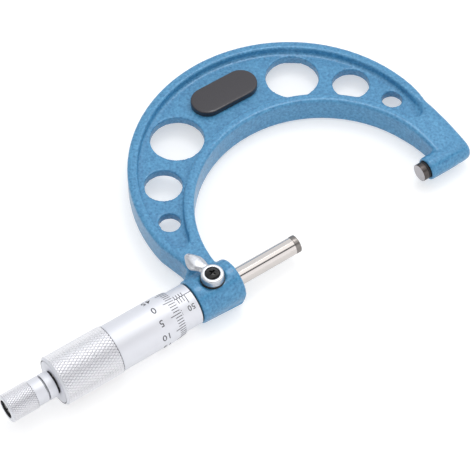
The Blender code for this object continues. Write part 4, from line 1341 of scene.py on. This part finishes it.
# %% Light the room
world = bpy.data.worlds.new("light tent")
bpy.context.scene.world = world
world.use_nodes = True
way = node(world, "ShaderNodeTexCoord").outputs["Generated"]
parts = node(world, "ShaderNodeSeparateXYZ", {"Vector": way}).outputs
lean = node(
    world, "ShaderNodeMath", {0: parts["Y"], 1: parts["Z"]}, operation="ARCTAN2"
).outputs["Value"]
REACH = 120
over = node(
    world,
    "ShaderNodeMapRange",
    {"Value": lean, "From Min": math.radians(REACH), "From Max": math.radians(-REACH)},
).outputs["Result"]
panels = node(world, "ShaderNodeValToRGB", {"Fac": over})
GREYS = (
    (-100, "B8B9BC"),
    (-75, "DADCDF"),
    (-25, "D6D8DB"),
    (-14, "FFFFFF"),
    (24, "FFFFFF"),
    (33, "3C3C40"),
    (42, "3C3C40"),
    (50, "EEEEF0"),
    (88, "F4F4F6"),
    (100, "D6D6D8"),
)
for index, (angle, code) in enumerate(GREYS):
    if index > 1:
        panels.color_ramp.elements.new(0.5 + angle / (2 * REACH))
    panels.color_ramp.elements[index].position = 0.5 + angle / (2 * REACH)
    panels.color_ramp.elements[index].color = linear(code)
along = node(
    world,
    "ShaderNodeMapRange",
    {"Value": parts["X"], "From Min": -0.9, "From Max": 0.2, "To Min": 0.85, "To Max": 1.35},
).outputs["Result"]
sky = world.node_tree.nodes["Background"]
world.node_tree.links.new(panels.outputs["Color"], sky.inputs["Color"])
world.node_tree.links.new(along, sky.inputs["Strength"])


def lamp(name, place, aim, size, power):
    """A square soft lamp at a place, aimed at a point, both in mm."""
    data = bpy.data.lights.new(name, "AREA")
    data.size = size * MM
    data.energy = power
    made = bpy.data.objects.new(name, data)
    bpy.context.scene.collection.objects.link(made)
    made.location = Vector(place) * MM
    made.rotation_euler = (Vector(aim) - Vector(place)).to_track_quat("-Z", "Y").to_euler()


lamp("window", (150, 180, 650), (-60, 30, 0), 240, 0.7)
print("tent: greys at", [angle for angle, code in GREYS], "degrees")

# %% [markdown]
# The camera stands where the photographer's did. Its place and its turn were fitted to the round
# outlines of the hub, the thimble and the lock and to the holes of the web. The lens is long, so
# far edges are hardly smaller than near ones, and all of the tool is in focus.

# %% Place the camera
CAMERA_PLACE = Vector((-305.15, -328.33, 567.6))
CAMERA_PAN, CAMERA_TILT, CAMERA_ROLL = -34.447, 90 - 53.723, -0.419

camera_data = bpy.data.cameras.new("camera")
camera_data.lens = 154.55
camera_data.sensor_width = 36.0
camera_data.clip_start = 0.01
camera_data.clip_end = 20.0
camera = bpy.data.objects.new("camera", camera_data)
bpy.context.scene.collection.objects.link(camera)
bpy.context.scene.camera = camera
camera.matrix_world = (
    Matrix.Translation(CAMERA_PLACE * MM)
    @ Matrix.Rotation(math.radians(CAMERA_PAN), 4, "Z")
    @ Matrix.Rotation(math.radians(CAMERA_TILT), 4, "X")
    @ Matrix.Rotation(math.radians(CAMERA_ROLL), 4, "Z")
)
view = bpy.context.scene.view_settings
view.view_transform = "Standard"
print("camera to the origin, mm:", round(CAMERA_PLACE.length))
